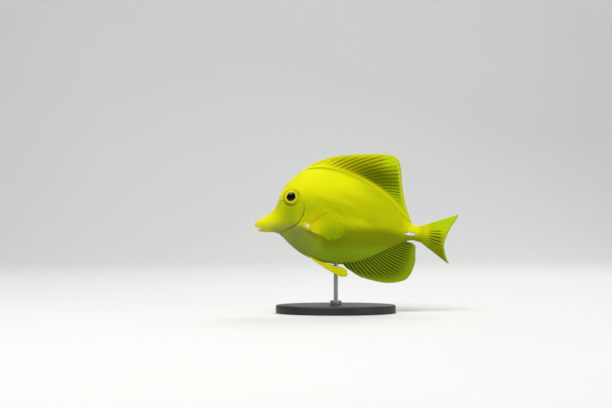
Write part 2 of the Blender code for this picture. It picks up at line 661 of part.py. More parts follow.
def make_stand(base_finish, rod_finish, collection):
    """An oval plate, a rod that stands in it and enters the belly, and a collar round the rod's foot."""
    floor_z = -BASE_THICKNESS - FIN_CLEARANCE
    bm = bmesh.new()
    bmesh.ops.create_cone(bm, cap_ends=True, segments=BASE_SIDES, radius1=1.0, radius2=1.0, depth=1.0)
    size = Matrix.Diagonal((BASE_HALF_LENGTH * MM, BASE_HALF_WIDTH * MM, BASE_THICKNESS * MM, 1.0))
    middle = place(ROD_X, 0.0, floor_z + BASE_THICKNESS / 2)
    bm.transform(Matrix.Translation(middle) @ size)
    top = max(bm.faces, key=lambda face: face.calc_center_median().z)
    bmesh.ops.bevel(bm, geom=list(top.edges), offset=BASE_BEVEL * MM, offset_type="OFFSET", segments=1,
                    profile=0.5, affect="EDGES", material=-1)
    base = node("stand_base", bm, base_finish, collection)
    hole_depth = BASE_THICKNESS / 2
    cut = gathering("base_cut")
    foot_hole = (ROD_X, 0.0, floor_z + hole_depth - SEAM)
    cylinder("foot_hole", foot_hole, ROD_RADIUS + SEAM, BASE_THICKNESS, None, cut)
    combine(base, "DIFFERENCE", cut)
    foot = floor_z + hole_depth
    tall = belly(ROD_X) + ROD_SINK - foot
    cylinder("stand_rod", (ROD_X, 0.0, foot), ROD_RADIUS, tall, rod_finish, collection)
    collar_foot = (ROD_X, 0.0, floor_z + BASE_THICKNESS + SEAM)
    collar = cylinder("stand_collar", collar_foot, COLLAR_RADIUS, COLLAR_HEIGHT, rod_finish, collection)
    cut = gathering("collar_cut")
    collar_hole = (ROD_X, 0.0, floor_z + BASE_THICKNESS - CUTTER_PAST)
    cylinder("collar_hole", collar_hole, ROD_RADIUS + SEAM, COLLAR_HEIGHT + 2 * CUTTER_PAST, None, cut)
    combine(collar, "DIFFERENCE", cut)


def main():
    for old in list(bpy.data.objects):
        bpy.data.objects.remove(old)
    tang = gathering("yellow_tang")
    skin = material("tang_skin", (0.80, 0.78, 0.01), 0.42)
    fin_skin = material("tang_fin", (0.66, 0.70, 0.02), 0.45)
    eye_finish = material("tang_eye", (0.03, 0.03, 0.03), 0.08)
    bone = material("tail_blade", (0.85, 0.86, 0.84), 0.35)
    make_head(skin, tang)
    make_trunk(skin, tang)
    make_peduncle(skin, tang)
    make_fins(fin_skin, tang)
    for side, word in ((-1, "left"), (1, "right")):
        lens(f"eye_{word}", side, 0.0, eye_finish, tang)
        blade(f"tail_blade_{word}", side, 0.0, bone, tang)
    stand_black = material("stand_black", (0.02, 0.02, 0.022), 0.35)
    rod_steel = material("rod_steel", (0.6, 0.6, 0.6), 0.3, 1.0)
    make_stand(stand_black, rod_steel, tang)


main()
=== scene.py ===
"""A yellow tang, life size, as a still museum model on a small stand, in a plain pale studio."""

import math

import bmesh
import bpy
import numpy as np
from mathutils import Matrix, Vector
from mathutils.bvhtree import BVHTree


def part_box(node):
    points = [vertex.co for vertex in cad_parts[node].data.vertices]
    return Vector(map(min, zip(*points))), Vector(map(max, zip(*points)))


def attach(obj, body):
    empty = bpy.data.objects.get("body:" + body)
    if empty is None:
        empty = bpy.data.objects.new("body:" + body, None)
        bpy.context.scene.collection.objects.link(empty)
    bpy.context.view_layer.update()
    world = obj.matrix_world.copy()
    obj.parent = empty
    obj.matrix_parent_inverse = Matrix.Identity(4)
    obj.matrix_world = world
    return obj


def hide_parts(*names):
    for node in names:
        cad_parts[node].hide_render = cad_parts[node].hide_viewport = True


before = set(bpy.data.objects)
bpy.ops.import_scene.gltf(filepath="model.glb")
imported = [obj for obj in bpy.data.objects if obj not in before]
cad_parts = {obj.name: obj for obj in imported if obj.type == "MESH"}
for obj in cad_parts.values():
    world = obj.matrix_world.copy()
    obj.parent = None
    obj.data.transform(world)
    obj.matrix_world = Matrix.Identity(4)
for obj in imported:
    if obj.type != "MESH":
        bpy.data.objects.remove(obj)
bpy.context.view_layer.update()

# The camera. It stands square to the fish's left side and level with its flank, as the photo was taken,
# and its picture is as wide as the photo's at the fish's own distance.
MM = 0.001
PHOTO_PIXEL = 0.7335 * MM
PHOTO_WIDTH, PHOTO_HEIGHT = 612, 408
BODY_DATUM_PX = (254.8, 283.0)
FISH_DATUM = Vector((-74.8, 0.0, 22.0)) * MM
LENS, SENSOR = 85.0, 36.0
CLIP_NEAR, CLIP_FAR = 0.01, 20.0

view_width = PHOTO_WIDTH * PHOTO_PIXEL
aim_px = Vector((PHOTO_WIDTH / 2 - BODY_DATUM_PX[0], 0.0, BODY_DATUM_PX[1] - PHOTO_HEIGHT / 2))
aim = FISH_DATUM + aim_px * PHOTO_PIXEL
camera_data = bpy.data.cameras.new("camera")
camera_data.lens, camera_data.sensor_width = LENS, SENSOR
camera_data.clip_start, camera_data.clip_end = CLIP_NEAR, CLIP_FAR
camera = bpy.data.objects.new("camera", camera_data)
camera.location = aim + Vector((0.0, -view_width * LENS / SENSOR, 0.0))
camera.rotation_euler = (math.pi / 2, 0.0, 0.0)
bpy.context.scene.collection.objects.link(camera)
bpy.context.scene.camera = camera
bpy.context.scene.view_settings.view_transform = "Standard"

# The skin. One tough, satin hide runs from the lips over the gill covers to the root of the tail, with the
# eye sockets, nostrils, lips, gill slit and the fleshy roots of the pectoral fins raised or sunk in it.
# It is drawn in millimetres: x from the tip of the snout, z from the lowest edge of the anal fin.
BACK = (
    (0.0, 42.4), (0.15, 43.4), (0.7, 44.5), (2.0, 45.6), (4.5, 46.9), (7.5, 48.6), (10.5, 50.5),
    (13.3, 53.0), (15.5, 55.8), (17.2, 60.1), (18.9, 64.9), (21.1, 69.3), (24.4, 73.5), (28.5, 77.3),
    (33.2, 81.2), (37.6, 83.6), (42.0, 84.8), (47.8, 85.2), (55.2, 84.1), (69.8, 79.5), (84.5, 72.5),
    (99.2, 61.8), (109.4, 50.2), (113.1, 45.5), (116.0, 42.9), (119.0, 42.0), (122.8, 42.6),
)
BELLY = (
    (0.0, 42.4), (0.15, 41.6), (0.9, 40.6), (1.9, 39.6), (2.4, 38.7), (3.1, 38.0), (4.5, 37.5),
    (8.2, 37.3), (13.0, 37.3), (17.0, 36.3), (20.0, 34.0), (25.8, 28.2), (33.2, 22.2), (42.0, 17.8),
    (52.0, 14.9), (62.5, 13.7), (72.0, 14.6), (84.5, 18.5), (99.2, 25.1), (109.4, 30.1), (113.1, 31.1),
    (116.0, 31.3), (119.0, 30.5), (122.8, 28.2),
)
HALF_WIDTH = (
    (0.0, 0.0), (0.15, 0.9), (0.7, 1.6), (2.0, 2.3), (4.5, 2.9), (8.0, 3.4), (14.0, 4.6), (19.0, 6.2),
    (24.0, 7.5), (31.0, 8.8), (40.0, 9.7), (50.0, 10.0), (60.0, 9.7), (72.0, 8.7), (84.0, 7.2),
    (96.0, 5.4), (106.0, 4.1), (113.0, 3.4), (118.0, 2.9), (122.8, 1.5),
)
DRAWN_IN = ((0.0, 0.0), (10.0, 0.05), (24.0, 0.16), (40.0, 0.36), (70.0, 0.48), (100.0, 0.40), (118.0, 0.2))
WIDEST_AT = ((0.0, 0.0), (14.0, 0.05), (26.0, 0.14), (50.0, 0.06), (90.0, 0.0))
GILL_OPENING = (
    (33.0, 9.6), (36.5, 16.7), (38.1, 19.4), (39.8, 23.8), (41.6, 27.6), (44.0, 31.0), (46.9, 33.4),
    (49.1, 34.8), (52.0, 35.8), (55.0, 36.3), (63.1, 36.6), (71.9, 36.0), (81.9, 34.0), (90.0, 31.5),
)
TAIL_ROOT_X, TAIL_ROOT_BULGE, TAIL_OVERLAP, TAIL_ROUNDING, TAIL_NARROWING = 121.3, 1.4, 0.6, 4.0, 2.5
HEAD_ROWS, TRUNK_ROWS, SKIN_COLUMNS, TOUCHING = 150, 110, 340, 0.002 * MM
EDGE_CROWDING, SNOUT_CROWDING, TRUNK_CROWDING, TRUNK_EVEN = 0.22, 1.5, 1.4, 0.35
GILL_SPAN, GILL_HALVINGS, GILL_STEP, GILL_LEVELS = (12.0, 42.0), 40, 0.12, (-1.02, -0.8, 0.05, 0.62)
EYE_X, EYE_Z, EYE_RADIUS, EYE_HALF_DEPTH, EYE_STANDS_OUT, EYE_FOLLOWS = 26.8, 63.0, 5.5, 3.3, 1.4, 0.5
SOCKET_RIM, SOCKET_WALL, SOCKET_FLOOR, SOCKET_DEPTH, SOCKET_DEEPER = 6.3, 5.3, 4.7, (1.1, 0.5), 1.6
NOSTRILS = ((19.9, 60.4, 0.62), (19.4, 58.0, 0.5))
STALK_FRONT, STALK_BACK, STALK_REACH, STALK_RISE = (33.6, 43.3), (46.0, 38.4), 3.1, 2.1
BLADE_FRONT, BLADE_BACK, BLADE_Z, BLADE_GROOVE = 109.4, 117.4, 35.9, (4.6, 1.8)
BLADE_MIDDLE = ((BLADE_FRONT + BLADE_BACK) / 2, BLADE_Z)
MOUTH_GAP = ((5.0, 39.8), (3.3, 40.3), (1.5, 40.95), (-1.5, 42.0), (-1.5, 39.2), (2.6, 39.25), (3.8, 39.4))
MOUTH_HALF_WIDTH, MOUTH_CUTS, LIP_ROUNDING = 8.0, 23, 4
UPPER_LIP = ((0.0, 42.3), (1.8, 41.7), (3.0, 41.2), (4.2, 40.7), (5.6, 40.1))
LOWER_LIP = ((0.0, 38.9), (2.9, 38.8), (3.6, 38.8), (4.4, 38.95), (5.6, 39.4))
STREAK = ((46.0, 53.8), (56.0, 50.4), (62.5, 47.8), (69.0, 45.6), (75.7, 44.2), (82.3, 43.4), (94.0, 42.8))
CHEEK_SHARE = (
    (8.0, 0.0), (12.0, 0.12), (15.6, 0.34), (19.2, 0.56), (23.0, 0.8), (26.6, 0.96), (30.2, 0.78),
    (34.0, 0.55), (38.0, 0.4),
)


def smooth(points):
    """A curve through points that keeps their rises and falls, for numbers or arrays."""
    xs, ys = (np.array(part, float) for part in zip(*points))
    slopes = np.diff(ys) / np.diff(xs)
    before, after = slopes[:-1], slopes[1:]
    shared = np.where(before * after > 0, before + after, 1.0)
    inner = np.where(before * after > 0, 2 * before * after / shared, 0.0)
    tangents = np.concatenate(([slopes[0]], inner, [slopes[-1]]))

    def value(x):
        x = np.clip(x, xs[0], xs[-1])
        i = np.clip(np.searchsorted(xs, x, side="right") - 1, 0, len(xs) - 2)
        width = xs[i + 1] - xs[i]
        t = (x - xs[i]) / width
        rise = ys[i] * (2 * t**3 - 3 * t**2 + 1) + ys[i + 1] * (3 * t**2 - 2 * t**3)
        return rise + width * (tangents[i] * (t**3 - 2 * t**2 + t) + tangents[i + 1] * (t**3 - t**2))

    return value


back, belly, half_width = smooth(BACK), smooth(BELLY), smooth(HALF_WIDTH)
drawn_in, widest_at, gill_opening = smooth(DRAWN_IN), smooth(WIDEST_AT), smooth(GILL_OPENING)
upper_lip, lower_lip = smooth(UPPER_LIP), smooth(LOWER_LIP)
streak_z, cheek_share = smooth(STREAK), smooth(CHEEK_SHARE)


def ease(low, high, value):
    """0 at low, 1 at high, and a smooth step between; low may be the larger."""
    t = np.clip((value - low) / (high - low), 0.0, 1.0)
    return t * t * (3 - 2 * t)


def between(value, start, full, waning, end):
    """1 from full to waning, with a smooth step up from start and another down to end."""
    return ease(start, full, value) * ease(end, waning, value)


def ridge(distance, width=1.0):
    """A rounded ridge of height 1 across a distance."""
    return np.exp(-((distance / width) ** 2))


def ridges(distance, rows):
    """Ridges and grooves side by side, from rows of place, height and width."""
    return sum(height * ridge(distance - place, width) for place, height, width in rows)


def spot(x, z, middle, half, fall=0.0):
    """How far points lie from the middle of an oval that falls towards the tail, with 1 at its edge."""
    run = x - middle[0]
    return np.hypot(run / half[0], (z - middle[1] + fall * run) / half[1])


def level_at(x, z):
    """Where z lies on the body at x, from -1 at the belly to 1 at the back."""
    return np.clip((2 * z - back(x) - belly(x)) / np.maximum(back(x) - belly(x), 1e-6), -1.0, 1.0)


def height_at(x, level):
    """The z at which a level lies on the body at x."""
    return (back(x) + belly(x)) / 2 + level * (back(x) - belly(x)) / 2


def flank(x, level):
    """The body's half width at x and a level."""
    widest = widest_at(x)
    t = np.where(level > widest, (level - widest) / (1 - widest), (widest - level) / (1 + widest))
    return half_width(x) * np.sqrt(np.clip(1 - t * t, 0.0, 1.0)) * (1 - drawn_in(x) * t * t)


def flank_at(x, z):
    return flank(x, level_at(x, z))


def tail_root_x(level):
    """Where the flesh ends and the tail fin starts, rounded between back and belly."""
    return TAIL_ROOT_X + TAIL_ROOT_BULGE * (1 - level**2)


def gill_x(level):
    """The x at which a line of constant level crosses the gill opening, found by halving its span."""
    low, high = (np.full_like(level, end) for end in GILL_SPAN)
    for _ in range(GILL_HALVINGS):
        x = (low + high) / 2
        ahead = x < gill_opening(height_at(x, level))
        low, high = np.where(ahead, x, low), np.where(ahead, high, x)
    return high


def model_points(x, y, z):
    """Fish millimetres as an array of model points in metres."""
    return np.stack(np.broadcast_arrays(x, y, z), axis=-1) * MM + np.array(FISH_DATUM)


def fish_mm(points):
    """Model points in metres as fish millimetres."""
    return (points - np.array(FISH_DATUM)) / MM


def eye_axis(side):
    """The middle of an eyeball and the way it looks, between straight out and square to the head."""
    slope_x = (flank_at(EYE_X + 1, EYE_Z) - flank_at(EYE_X - 1, EYE_Z)) / 2
    slope_z = (flank_at(EYE_X, EYE_Z + 1) - flank_at(EYE_X, EYE_Z - 1)) / 2
    out = Vector((-slope_x * EYE_FOLLOWS, side, -slope_z * EYE_FOLLOWS)).normalized()
    surface = Vector((EYE_X, side * float(flank_at(EYE_X, EYE_Z)), EYE_Z))
    return surface + out * (EYE_STANDS_OUT - EYE_HALF_DEPTH), out


def beside_eye(points):
    """How far points in fish millimetres lie from the nearer eye's axis."""
    centre, out = eye_axis(1)
    offset = np.stack((points[..., 0], np.abs(points[..., 1]), points[..., 2]), axis=-1) - np.array(centre)
    along = offset @ np.array(out)
    return np.linalg.norm(offset - along[..., None] * np.array(out), axis=-1)


def finished_mesh(bm, name):
    """The mesh of a closed bmesh that is done with, its faces turned outwards."""
    bm.normal_update()
    bmesh.ops.recalc_face_normals(bm, faces=bm.faces)
    if bm.calc_volume(signed=True) < 0:
        bmesh.ops.reverse_faces(bm, faces=bm.faces)
    mesh = bpy.data.meshes.new(name)
    bm.to_mesh(mesh)
    bm.free()
    return mesh


def set_places(bm, x, y, z):
    """Moves a bmesh's vertices to places in fish millimetres."""
    for vert, point in zip(bm.verts, model_points(x, y, z)):
        vert.co = point


def skin_mesh():
    """A grid bent round the plain body, its ends and its seam closed and its rows close at the snout."""
    rows = HEAD_ROWS + TRUNK_ROWS
    bm = bmesh.new()
    bmesh.ops.create_grid(bm, x_segments=rows, y_segments=SKIN_COLUMNS, size=1.0)
    grid = np.array([vert.co for vert in bm.verts])
    row = np.rint((grid[:, 0] + 1) / 2 * rows)
    turn = math.pi * (grid[:, 1] + 1)
    level = np.cos(turn + EDGE_CROWDING * np.sin(2 * turn))
    on_seam = np.isclose(np.abs(grid[:, 1]), 1.0) | np.isclose(grid[:, 1], 0.0)
    side = np.where(on_seam, 0.0, -np.sign(grid[:, 1]))
    opening, tail_end = gill_x(level), tail_root_x(level) + TAIL_OVERLAP
    ahead = opening * (row / HEAD_ROWS) ** SNOUT_CROWDING
    behind = np.maximum(row - HEAD_ROWS, 0) / TRUNK_ROWS
    behind = TRUNK_EVEN * behind + (1 - TRUNK_EVEN) * behind**TRUNK_CROWDING
    past = opening + GILL_STEP + (tail_end - opening - GILL_STEP) * behind
    x = np.where(row <= HEAD_ROWS, ahead, past)
    closing = np.sqrt(np.clip(1 - ease(tail_end - TAIL_ROUNDING, tail_end, x) ** 2, 0.0, 1.0))
    drawn = level * (1 - 0.13 * ease(tail_end - TAIL_NARROWING, tail_end, x) * level**2)
    set_places(bm, x, side * flank(x, level) * closing, height_at(x, drawn))
    bmesh.ops.remove_doubles(bm, verts=bm.verts, dist=TOUCHING)
    return finished_mesh(bm, "skin")


GILL_SWELL, GILL_HOLLOW, GILL_HOLLOW_WIDTH = 0.42, 0.3, 2.6
NOSTRIL_RIM, NOSTRIL_RIM_WIDTH, NOSTRIL_DEPTH = 0.16, 0.22, 0.85
JAW_FOLD, STREAK_RISE, STREAK_WIDTH, MUSCLE_WAVE = 0.12, 0.22, 1.9, 0.10
GROOVE_LIP, GROOVE_LIP_WIDTH, GROOVE_DEPTH = 0.22, 0.22, 0.6
GILL_RIDGES = ((-5.5, 0.14, 1.2), (-7.4, -0.10, 0.7))
EYE_RIDGES = ((6.3, 0.36, 0.5), (7.2, -0.16, 0.45), (8.0, 0.14, 0.55))
UPPER_LIP_RIDGES = ((0.0, 0.42, 0.5), (1.05, -0.16, 0.3))
LOWER_LIP_RIDGES = ((0.0, 0.4, 0.5), (-1.0, -0.16, 0.3))


def head_relief(x, z, from_eye):
    """Gill cover and the hollow behind it, rings about the eye, nostrils, lips and the fold of the jaw."""
    level, behind = level_at(x, z), x - gill_opening(z)
    cover, hollow = GILL_SWELL * ease(-9.0, -0.6, behind), GILL_HOLLOW * ridge(behind, GILL_HOLLOW_WIDTH)
    rise = np.where(behind <= GILL_STEP / 2, cover, -hollow) + ridges(behind, GILL_RIDGES)
    rise = rise * between(level, *GILL_LEVELS)
    rise += ridges(from_eye, EYE_RIDGES)
    for hole_x, hole_z, radius in NOSTRILS:
        away = np.hypot(x - hole_x, z - hole_z)
        rise += NOSTRIL_RIM * ridge(away - radius * 1.35, NOSTRIL_RIM_WIDTH)
        rise -= NOSTRIL_DEPTH * ease(radius, radius * 0.4, away)
    lips = ridges(z - upper_lip(x), UPPER_LIP_RIDGES) + ridges(z - lower_lip(x), LOWER_LIP_RIDGES)
    fold = ridge(z - 40.2 + 0.25 * (x - 5.0), 0.35) * between(x, 5.0, 6.0, 6.5, 9.5)
    return rise + lips * ease(6.4, 5.0, x) - JAW_FOLD * fold


def stalk_relief(x, z):
    """The fleshy root of the pectoral fin: half an egg on the flank, higher towards its rear end."""
    run_x, run_z = STALK_BACK[0] - STALK_FRONT[0], STALK_BACK[1] - STALK_FRONT[1]
    length = math.hypot(run_x, run_z)
    along = ((x - STALK_FRONT[0]) * run_x + (z - STALK_FRONT[1]) * run_z) / length
    across = ((z - STALK_FRONT[1]) * run_x - (x - STALK_FRONT[0]) * run_z) / length
    oval = ((along - length / 2) / (length / 2)) ** 2 + (across / STALK_REACH) ** 2
    return STALK_RISE * np.sqrt(np.clip(1 - oval, 0.0, 1.0)) * (0.55 + 0.45 * ease(0.0, length, along))


def flank_relief(x, z):
    """The groove of the tail blade, the low streak along the flank and faint waves of its muscle."""
    groove = spot(x, z, BLADE_MIDDLE, BLADE_GROOVE)
    rise = GROOVE_LIP * ridge(groove - 1.15, GROOVE_LIP_WIDTH) - GROOVE_DEPTH * ease(1.0, 0.6, groove**2)
    streak = ridge(z - streak_z(x) - 0.6, STREAK_WIDTH) * between(x, 46.0, 54.0, 76.0, 92.0)
    waves = np.sin(0.55 * x + 0.8 * z) * ridge(level_at(x, z) + 0.1, 0.5)
    return rise + STREAK_RISE * streak + MUSCLE_WAVE * waves * between(x, 44.0, 60.0, 90.0, 112.0)


def shape_skin(mesh):
    """Raises the relief in the skin and sinks the sockets of the eyes."""
    places, normals = vertex_array(mesh), vertex_array(mesh, "vertex_normals", "vector")
    points = fish_mm(places)
    x, z = points[:, 0], points[:, 2]
    rise = head_relief(x, z, beside_eye(points)) + stalk_relief(x, z) + flank_relief(x, z)
    places = places + normals * rise[:, None] * MM
    points = fish_mm(places)
    from_eye = beside_eye(points)
    above = (points[:, 2] - EYE_Z) / np.maximum(from_eye, 1.0)
    below_depth, above_depth = SOCKET_DEPTH
    wall = below_depth + (above_depth - below_depth) * ease(0.1, 0.9, above)
    sink = wall * ease(SOCKET_RIM, SOCKET_WALL, from_eye)
    sink += SOCKET_DEEPER * ease(SOCKET_WALL, SOCKET_FLOOR, from_eye)
    for side in (-1, 1):
        here = np.where(points[:, 1] * side > 0, sink, 0.0)
        places = places - np.array(eye_axis(side)[1]) * here[:, None] * MM
    mesh.vertices.foreach_set("co", places.ravel())
    mesh.update()


def vertex_array(mesh, field="vertices", value="co"):
    """The places or normals of a mesh's vertices as an array."""
    data = np.empty(len(mesh.vertices) * 3)
    getattr(mesh, field).foreach_get(value, data)
    return data.reshape(-1, 3)


def put(name, mesh, look):
    """An object of a mesh at the origin, smooth, in the scene, riding on the one body."""
    made = bpy.data.objects.new(name, mesh)
    mesh.materials.append(look)
    mesh.shade_smooth()
    bpy.context.scene.collection.objects.link(made)
    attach(made, "root")
    return made


def cut_with(target, cutter_mesh):
    """Cuts a closed mesh out of the target's mesh; the cut keeps the cutter's material."""
    cutter = bpy.data.objects.new("cutter", cutter_mesh)
    bpy.context.scene.collection.objects.link(cutter)
    change = target.modifiers.new("cut", "BOOLEAN")
    change.operation, change.solver, change.object = "DIFFERENCE", "EXACT", cutter
    change.material_mode = "TRANSFER"
    graph = bpy.context.evaluated_depsgraph_get()
    mesh = bpy.data.meshes.new_from_object(target.evaluated_get(graph))
    target.modifiers.clear()
    target.data = mesh
    mesh.shade_smooth()
    bpy.data.objects.remove(cutter)


def mouth_cutter(lining):
    """The wedge of the open mouth, run across the snout."""
    bm = bmesh.new()
    gap_x, gap_z = (np.array(part) for part in zip(*MOUTH_GAP))
    face = bm.faces.new([bm.verts.new(point) for point in model_points(gap_x, -MOUTH_HALF_WIDTH, gap_z)])
    run = bmesh.ops.extrude_face_region(bm, geom=[face])
    far = [part for part in run["geom"] if isinstance(part, bmesh.types.BMVert)]
    bmesh.ops.translate(bm, verts=far, vec=(0.0, 2 * MOUTH_HALF_WIDTH * MM, 0.0))
    bmesh.ops.subdivide_edges(bm, edges=bm.edges, cuts=MOUTH_CUTS, use_grid_fill=True)
    mesh = finished_mesh(bm, "mouth_gap")
    mesh.materials.append(lining)
    return mesh


def round_lips(mesh):
    """Rounds the edge between the skin and the lining of the mouth, so that the lips are soft."""
    bm = bmesh.new()
    bm.from_mesh(mesh)
    near = {vert for edge in bm.edges if len({face.material_index for face in edge.link_faces}) > 1
            for vert in edge.verts}
    for _ in range(LIP_ROUNDING):
        near |= {edge.other_vert(vert) for vert in near for edge in vert.link_edges}
    for _ in range(LIP_ROUNDING):
        bmesh.ops.smooth_vert(bm, verts=list(near), factor=0.5,
                              use_axis_x=True, use_axis_y=True, use_axis_z=True)
    bm.to_mesh(mesh)
    bm.free()


class Socket:
    """One output of a material's nodes: arithmetic on it adds Math nodes, and add() adds any other node."""

    def __init__(self, tree, output=None):
        self.tree, self.output = tree, output

    def add(self, kind, settings=None, values=None, out=0):
        node = self.tree.nodes.new(kind)
        for name, value in (settings or {}).items():
            setattr(node, name, value)
        for name, value in (values or {}).items():
            if isinstance(value, Socket):
                self.tree.links.new(value.output, node.inputs[name])
            else:
                node.inputs[name].default_value = value
        return Socket(self.tree, node.outputs[out])

    def maths(self, operation, *values):
        return self.add("ShaderNodeMath", {"operation": operation}, dict(enumerate(values)))

    def __add__(self, other):
        return self.maths("ADD", self, other)

    def __sub__(self, other):
        return self.maths("SUBTRACT", self, other)

    def __rsub__(self, other):
        return self.maths("SUBTRACT", other, self)

    def __mul__(self, other):
        return self.maths("MULTIPLY", self, other)

    def __truediv__(self, other):
        return self.maths("DIVIDE", self, other)

    __radd__, __rmul__ = __add__, __mul__

    def step(self, low, high):
        """A smooth step of this value from 0 at low to 1 at high."""
        return self.add(
            "ShaderNodeMapRange", {"interpolation_type": "SMOOTHSTEP"},
            {"Value": self, "From Min": low, "From Max": high, "To Min": 0.0, "To Max": 1.0},
        )

    def mix(self, first, second):
        """A colour that this value, from 0 to 1, takes from the first colour to the second."""
        first, second = ((*c, 1.0) if isinstance(c, tuple) else c for c in (first, second))
        return self.add("ShaderNodeMix", {"data_type": "RGBA"}, {0: self, 6: first, 7: second}, out=2)

    def attribute(self, name):
        return self.add("ShaderNodeAttribute", {"attribute_name": name}, out="Fac")

    def place(self):
        """The model's own coordinates, in metres."""
        return self.add("ShaderNodeTexCoord", out="Object")

    def parts(self, vector, axes):
        """The numbers that a vector holds for some of its axes."""
        return [self.add("ShaderNodeSeparateXYZ", {}, {"Vector": vector}, out=axis) for axis in axes]

    def fish(self):
        """The place on the fish in its own millimetres: x from the snout, and z."""
        x, z = self.parts(self.place(), (0, 2))
        return x / MM - FISH_DATUM.x / MM, z / MM - FISH_DATUM.z / MM

    def oval(self, middle, half, fall=0.0):
        """1 in the middle of a soft oval on the fish's side, 0 past it; its rear end falls by an angle."""
        x, z = self.fish()
        behind, above = x - middle[0], z - middle[1]
        along = (behind * math.cos(fall) - above * math.sin(fall)) / half[0]
        across = (behind * math.sin(fall) + above * math.cos(fall)) / half[1]
        return self.maths("SQRT", along * along + across * across).step(1.0, 0.15)

    def noise(self, scale, detail=2.0, where=None):
        """A cloudy value between about 0.3 and 0.7."""
        return self.add(
            "ShaderNodeTexNoise", {"noise_dimensions": "3D"},
            {"Vector": where or self.place(), "Scale": scale, "Detail": detail},
        )

    def stretched(self, x, y, z):
        """The model's coordinates, stretched along each axis."""
        return self.add("ShaderNodeMapping", {}, {"Vector": self.place(), "Scale": (x, y, z)})

    def bump(self, height, distance, strength):
        return self.add(
            "ShaderNodeBump", {}, {"Height": height, "Distance": distance * MM, "Strength": strength},
        )


def finish(name, constants, pattern=None):
    """A Principled material: constants set sockets, and pattern(start) links the varying ones."""
    made = bpy.data.materials.new(name)
    made.use_nodes = True
    shader = made.node_tree.nodes["Principled BSDF"]
    for label, value in constants.items():
        shader.inputs[label].default_value = value
    for label, wire in (pattern(Socket(made.node_tree)) if pattern else {}).items():
        made.node_tree.links.new(wire.output, shader.inputs[label])
    return made


def paint(red, green, blue):
    """A colour of 0 to 255 a channel, as light."""
    shares = (channel / 255 for channel in (red, green, blue))
    return tuple(((c + 0.055) / 1.055) ** 2.4 if c > 0.04 else c / 12.92 for c in shares)


# Among these, the darker flank yellow and the crease dark are painted shade, the flank olive is painted
# shade low on the flank, and the streak yellow and the shine white are painted highlights.
BACK_YELLOW, FLANK_SHADE_YELLOW, HIGHLIGHT_YELLOW = paint(232, 232, 0), paint(188, 195, 0), paint(208, 217, 2)
CHEEK_GREEN, FLANK_OLIVE, BELLY_GREEN = paint(160, 174, 3), paint(126, 138, 3), paint(134, 162, 22)
THROAT_GREY, SLIT_GREY, ROOT_ORANGE = paint(124, 134, 64), paint(88, 87, 56), paint(216, 200, 2)
SHADE_DARK, SHINE_WHITE, MOUTH_BROWN = paint(64, 66, 20), paint(246, 240, 236), paint(34, 26, 14)
YELLOW_SHEEN = (1.0, 0.94, 0.1, 1.0)
SHOULDER_X = 43.4
FLANK_SPAN, REAR_SPAN = (29.0, 36.0, 104.0, 118.0), (62.0, 84.0, 104.0, 118.0)
CREST_SPAN, BELLY_SPAN = (34.0, 46.0, 66.0, 92.0), (22.0, 30.0, 92.0, 110.0)
CHEEK_HEIGHTS, SLIT_LEVELS = (35.0, 44.0, 57.0, 68.0), (-0.68, -0.5, 0.02, 0.24)
DARK_BAND = (62.5, 0.39, 1.7, (40.0, 48.0, 64.0, 84.0))
LIGHT_BAND = (67.5, 0.36, 2.6, (40.0, 50.0, 66.0, 90.0))
# Where a painted highlight lies along the flank.
HIGHLIGHT_SPAN, HIGHLIGHT_HEIGHTS = (47.0, 56.0, 75.0, 88.0), (-3.0, -1.2, 0.4, 4.4)
GILL_PATCH, REAR_PATCH = ((41.0, 54.0), (6.0, 5.0)), ((85.5, 46.0), (7.0, 3.5))
STALK_PATCH, ROOT_PATCH = ((39.5, 41.0), (6.0, 2.3), 0.42), ((46.0, 46.0), (8.5, 8.0))
# The shine is a painted highlight and the shadow a painted shadow, both at the pectoral root.
SHINE_PATCH, SHADOW_PATCH = ((40.0, 41.5), (2.7, 1.0), 0.48), ((42.0, 36.0), (5.0, 1.3), 0.7)


def band(x, z, height, fall, width, span):
    """A soft band that falls towards the tail from its height at the shoulder."""
    return ridge(z - height + fall * (x - SHOULDER_X), width) * between(x, *span)


def eye_shade(x, z, from_eye):
    """The shadow in the crease about the eye, deepest below and behind it, and along its socket's edge."""
    around = np.arctan2(z - EYE_Z, x - EYE_X)
    shade = np.exp((np.cos(around - 4.3) - 1) / 0.65) + 0.6 * np.exp((np.cos(around - 0.45) - 1) / 0.12)
    outer = 0.3 * ridge(from_eye - 7.3, 0.35) * ease(-0.1, 0.7, np.cos(around - 0.4))
    return np.maximum(np.maximum(shade * ridge(from_eye - 6.1, 0.55), outer),
                      0.35 * shade * ease(5.5, 5.25, from_eye))


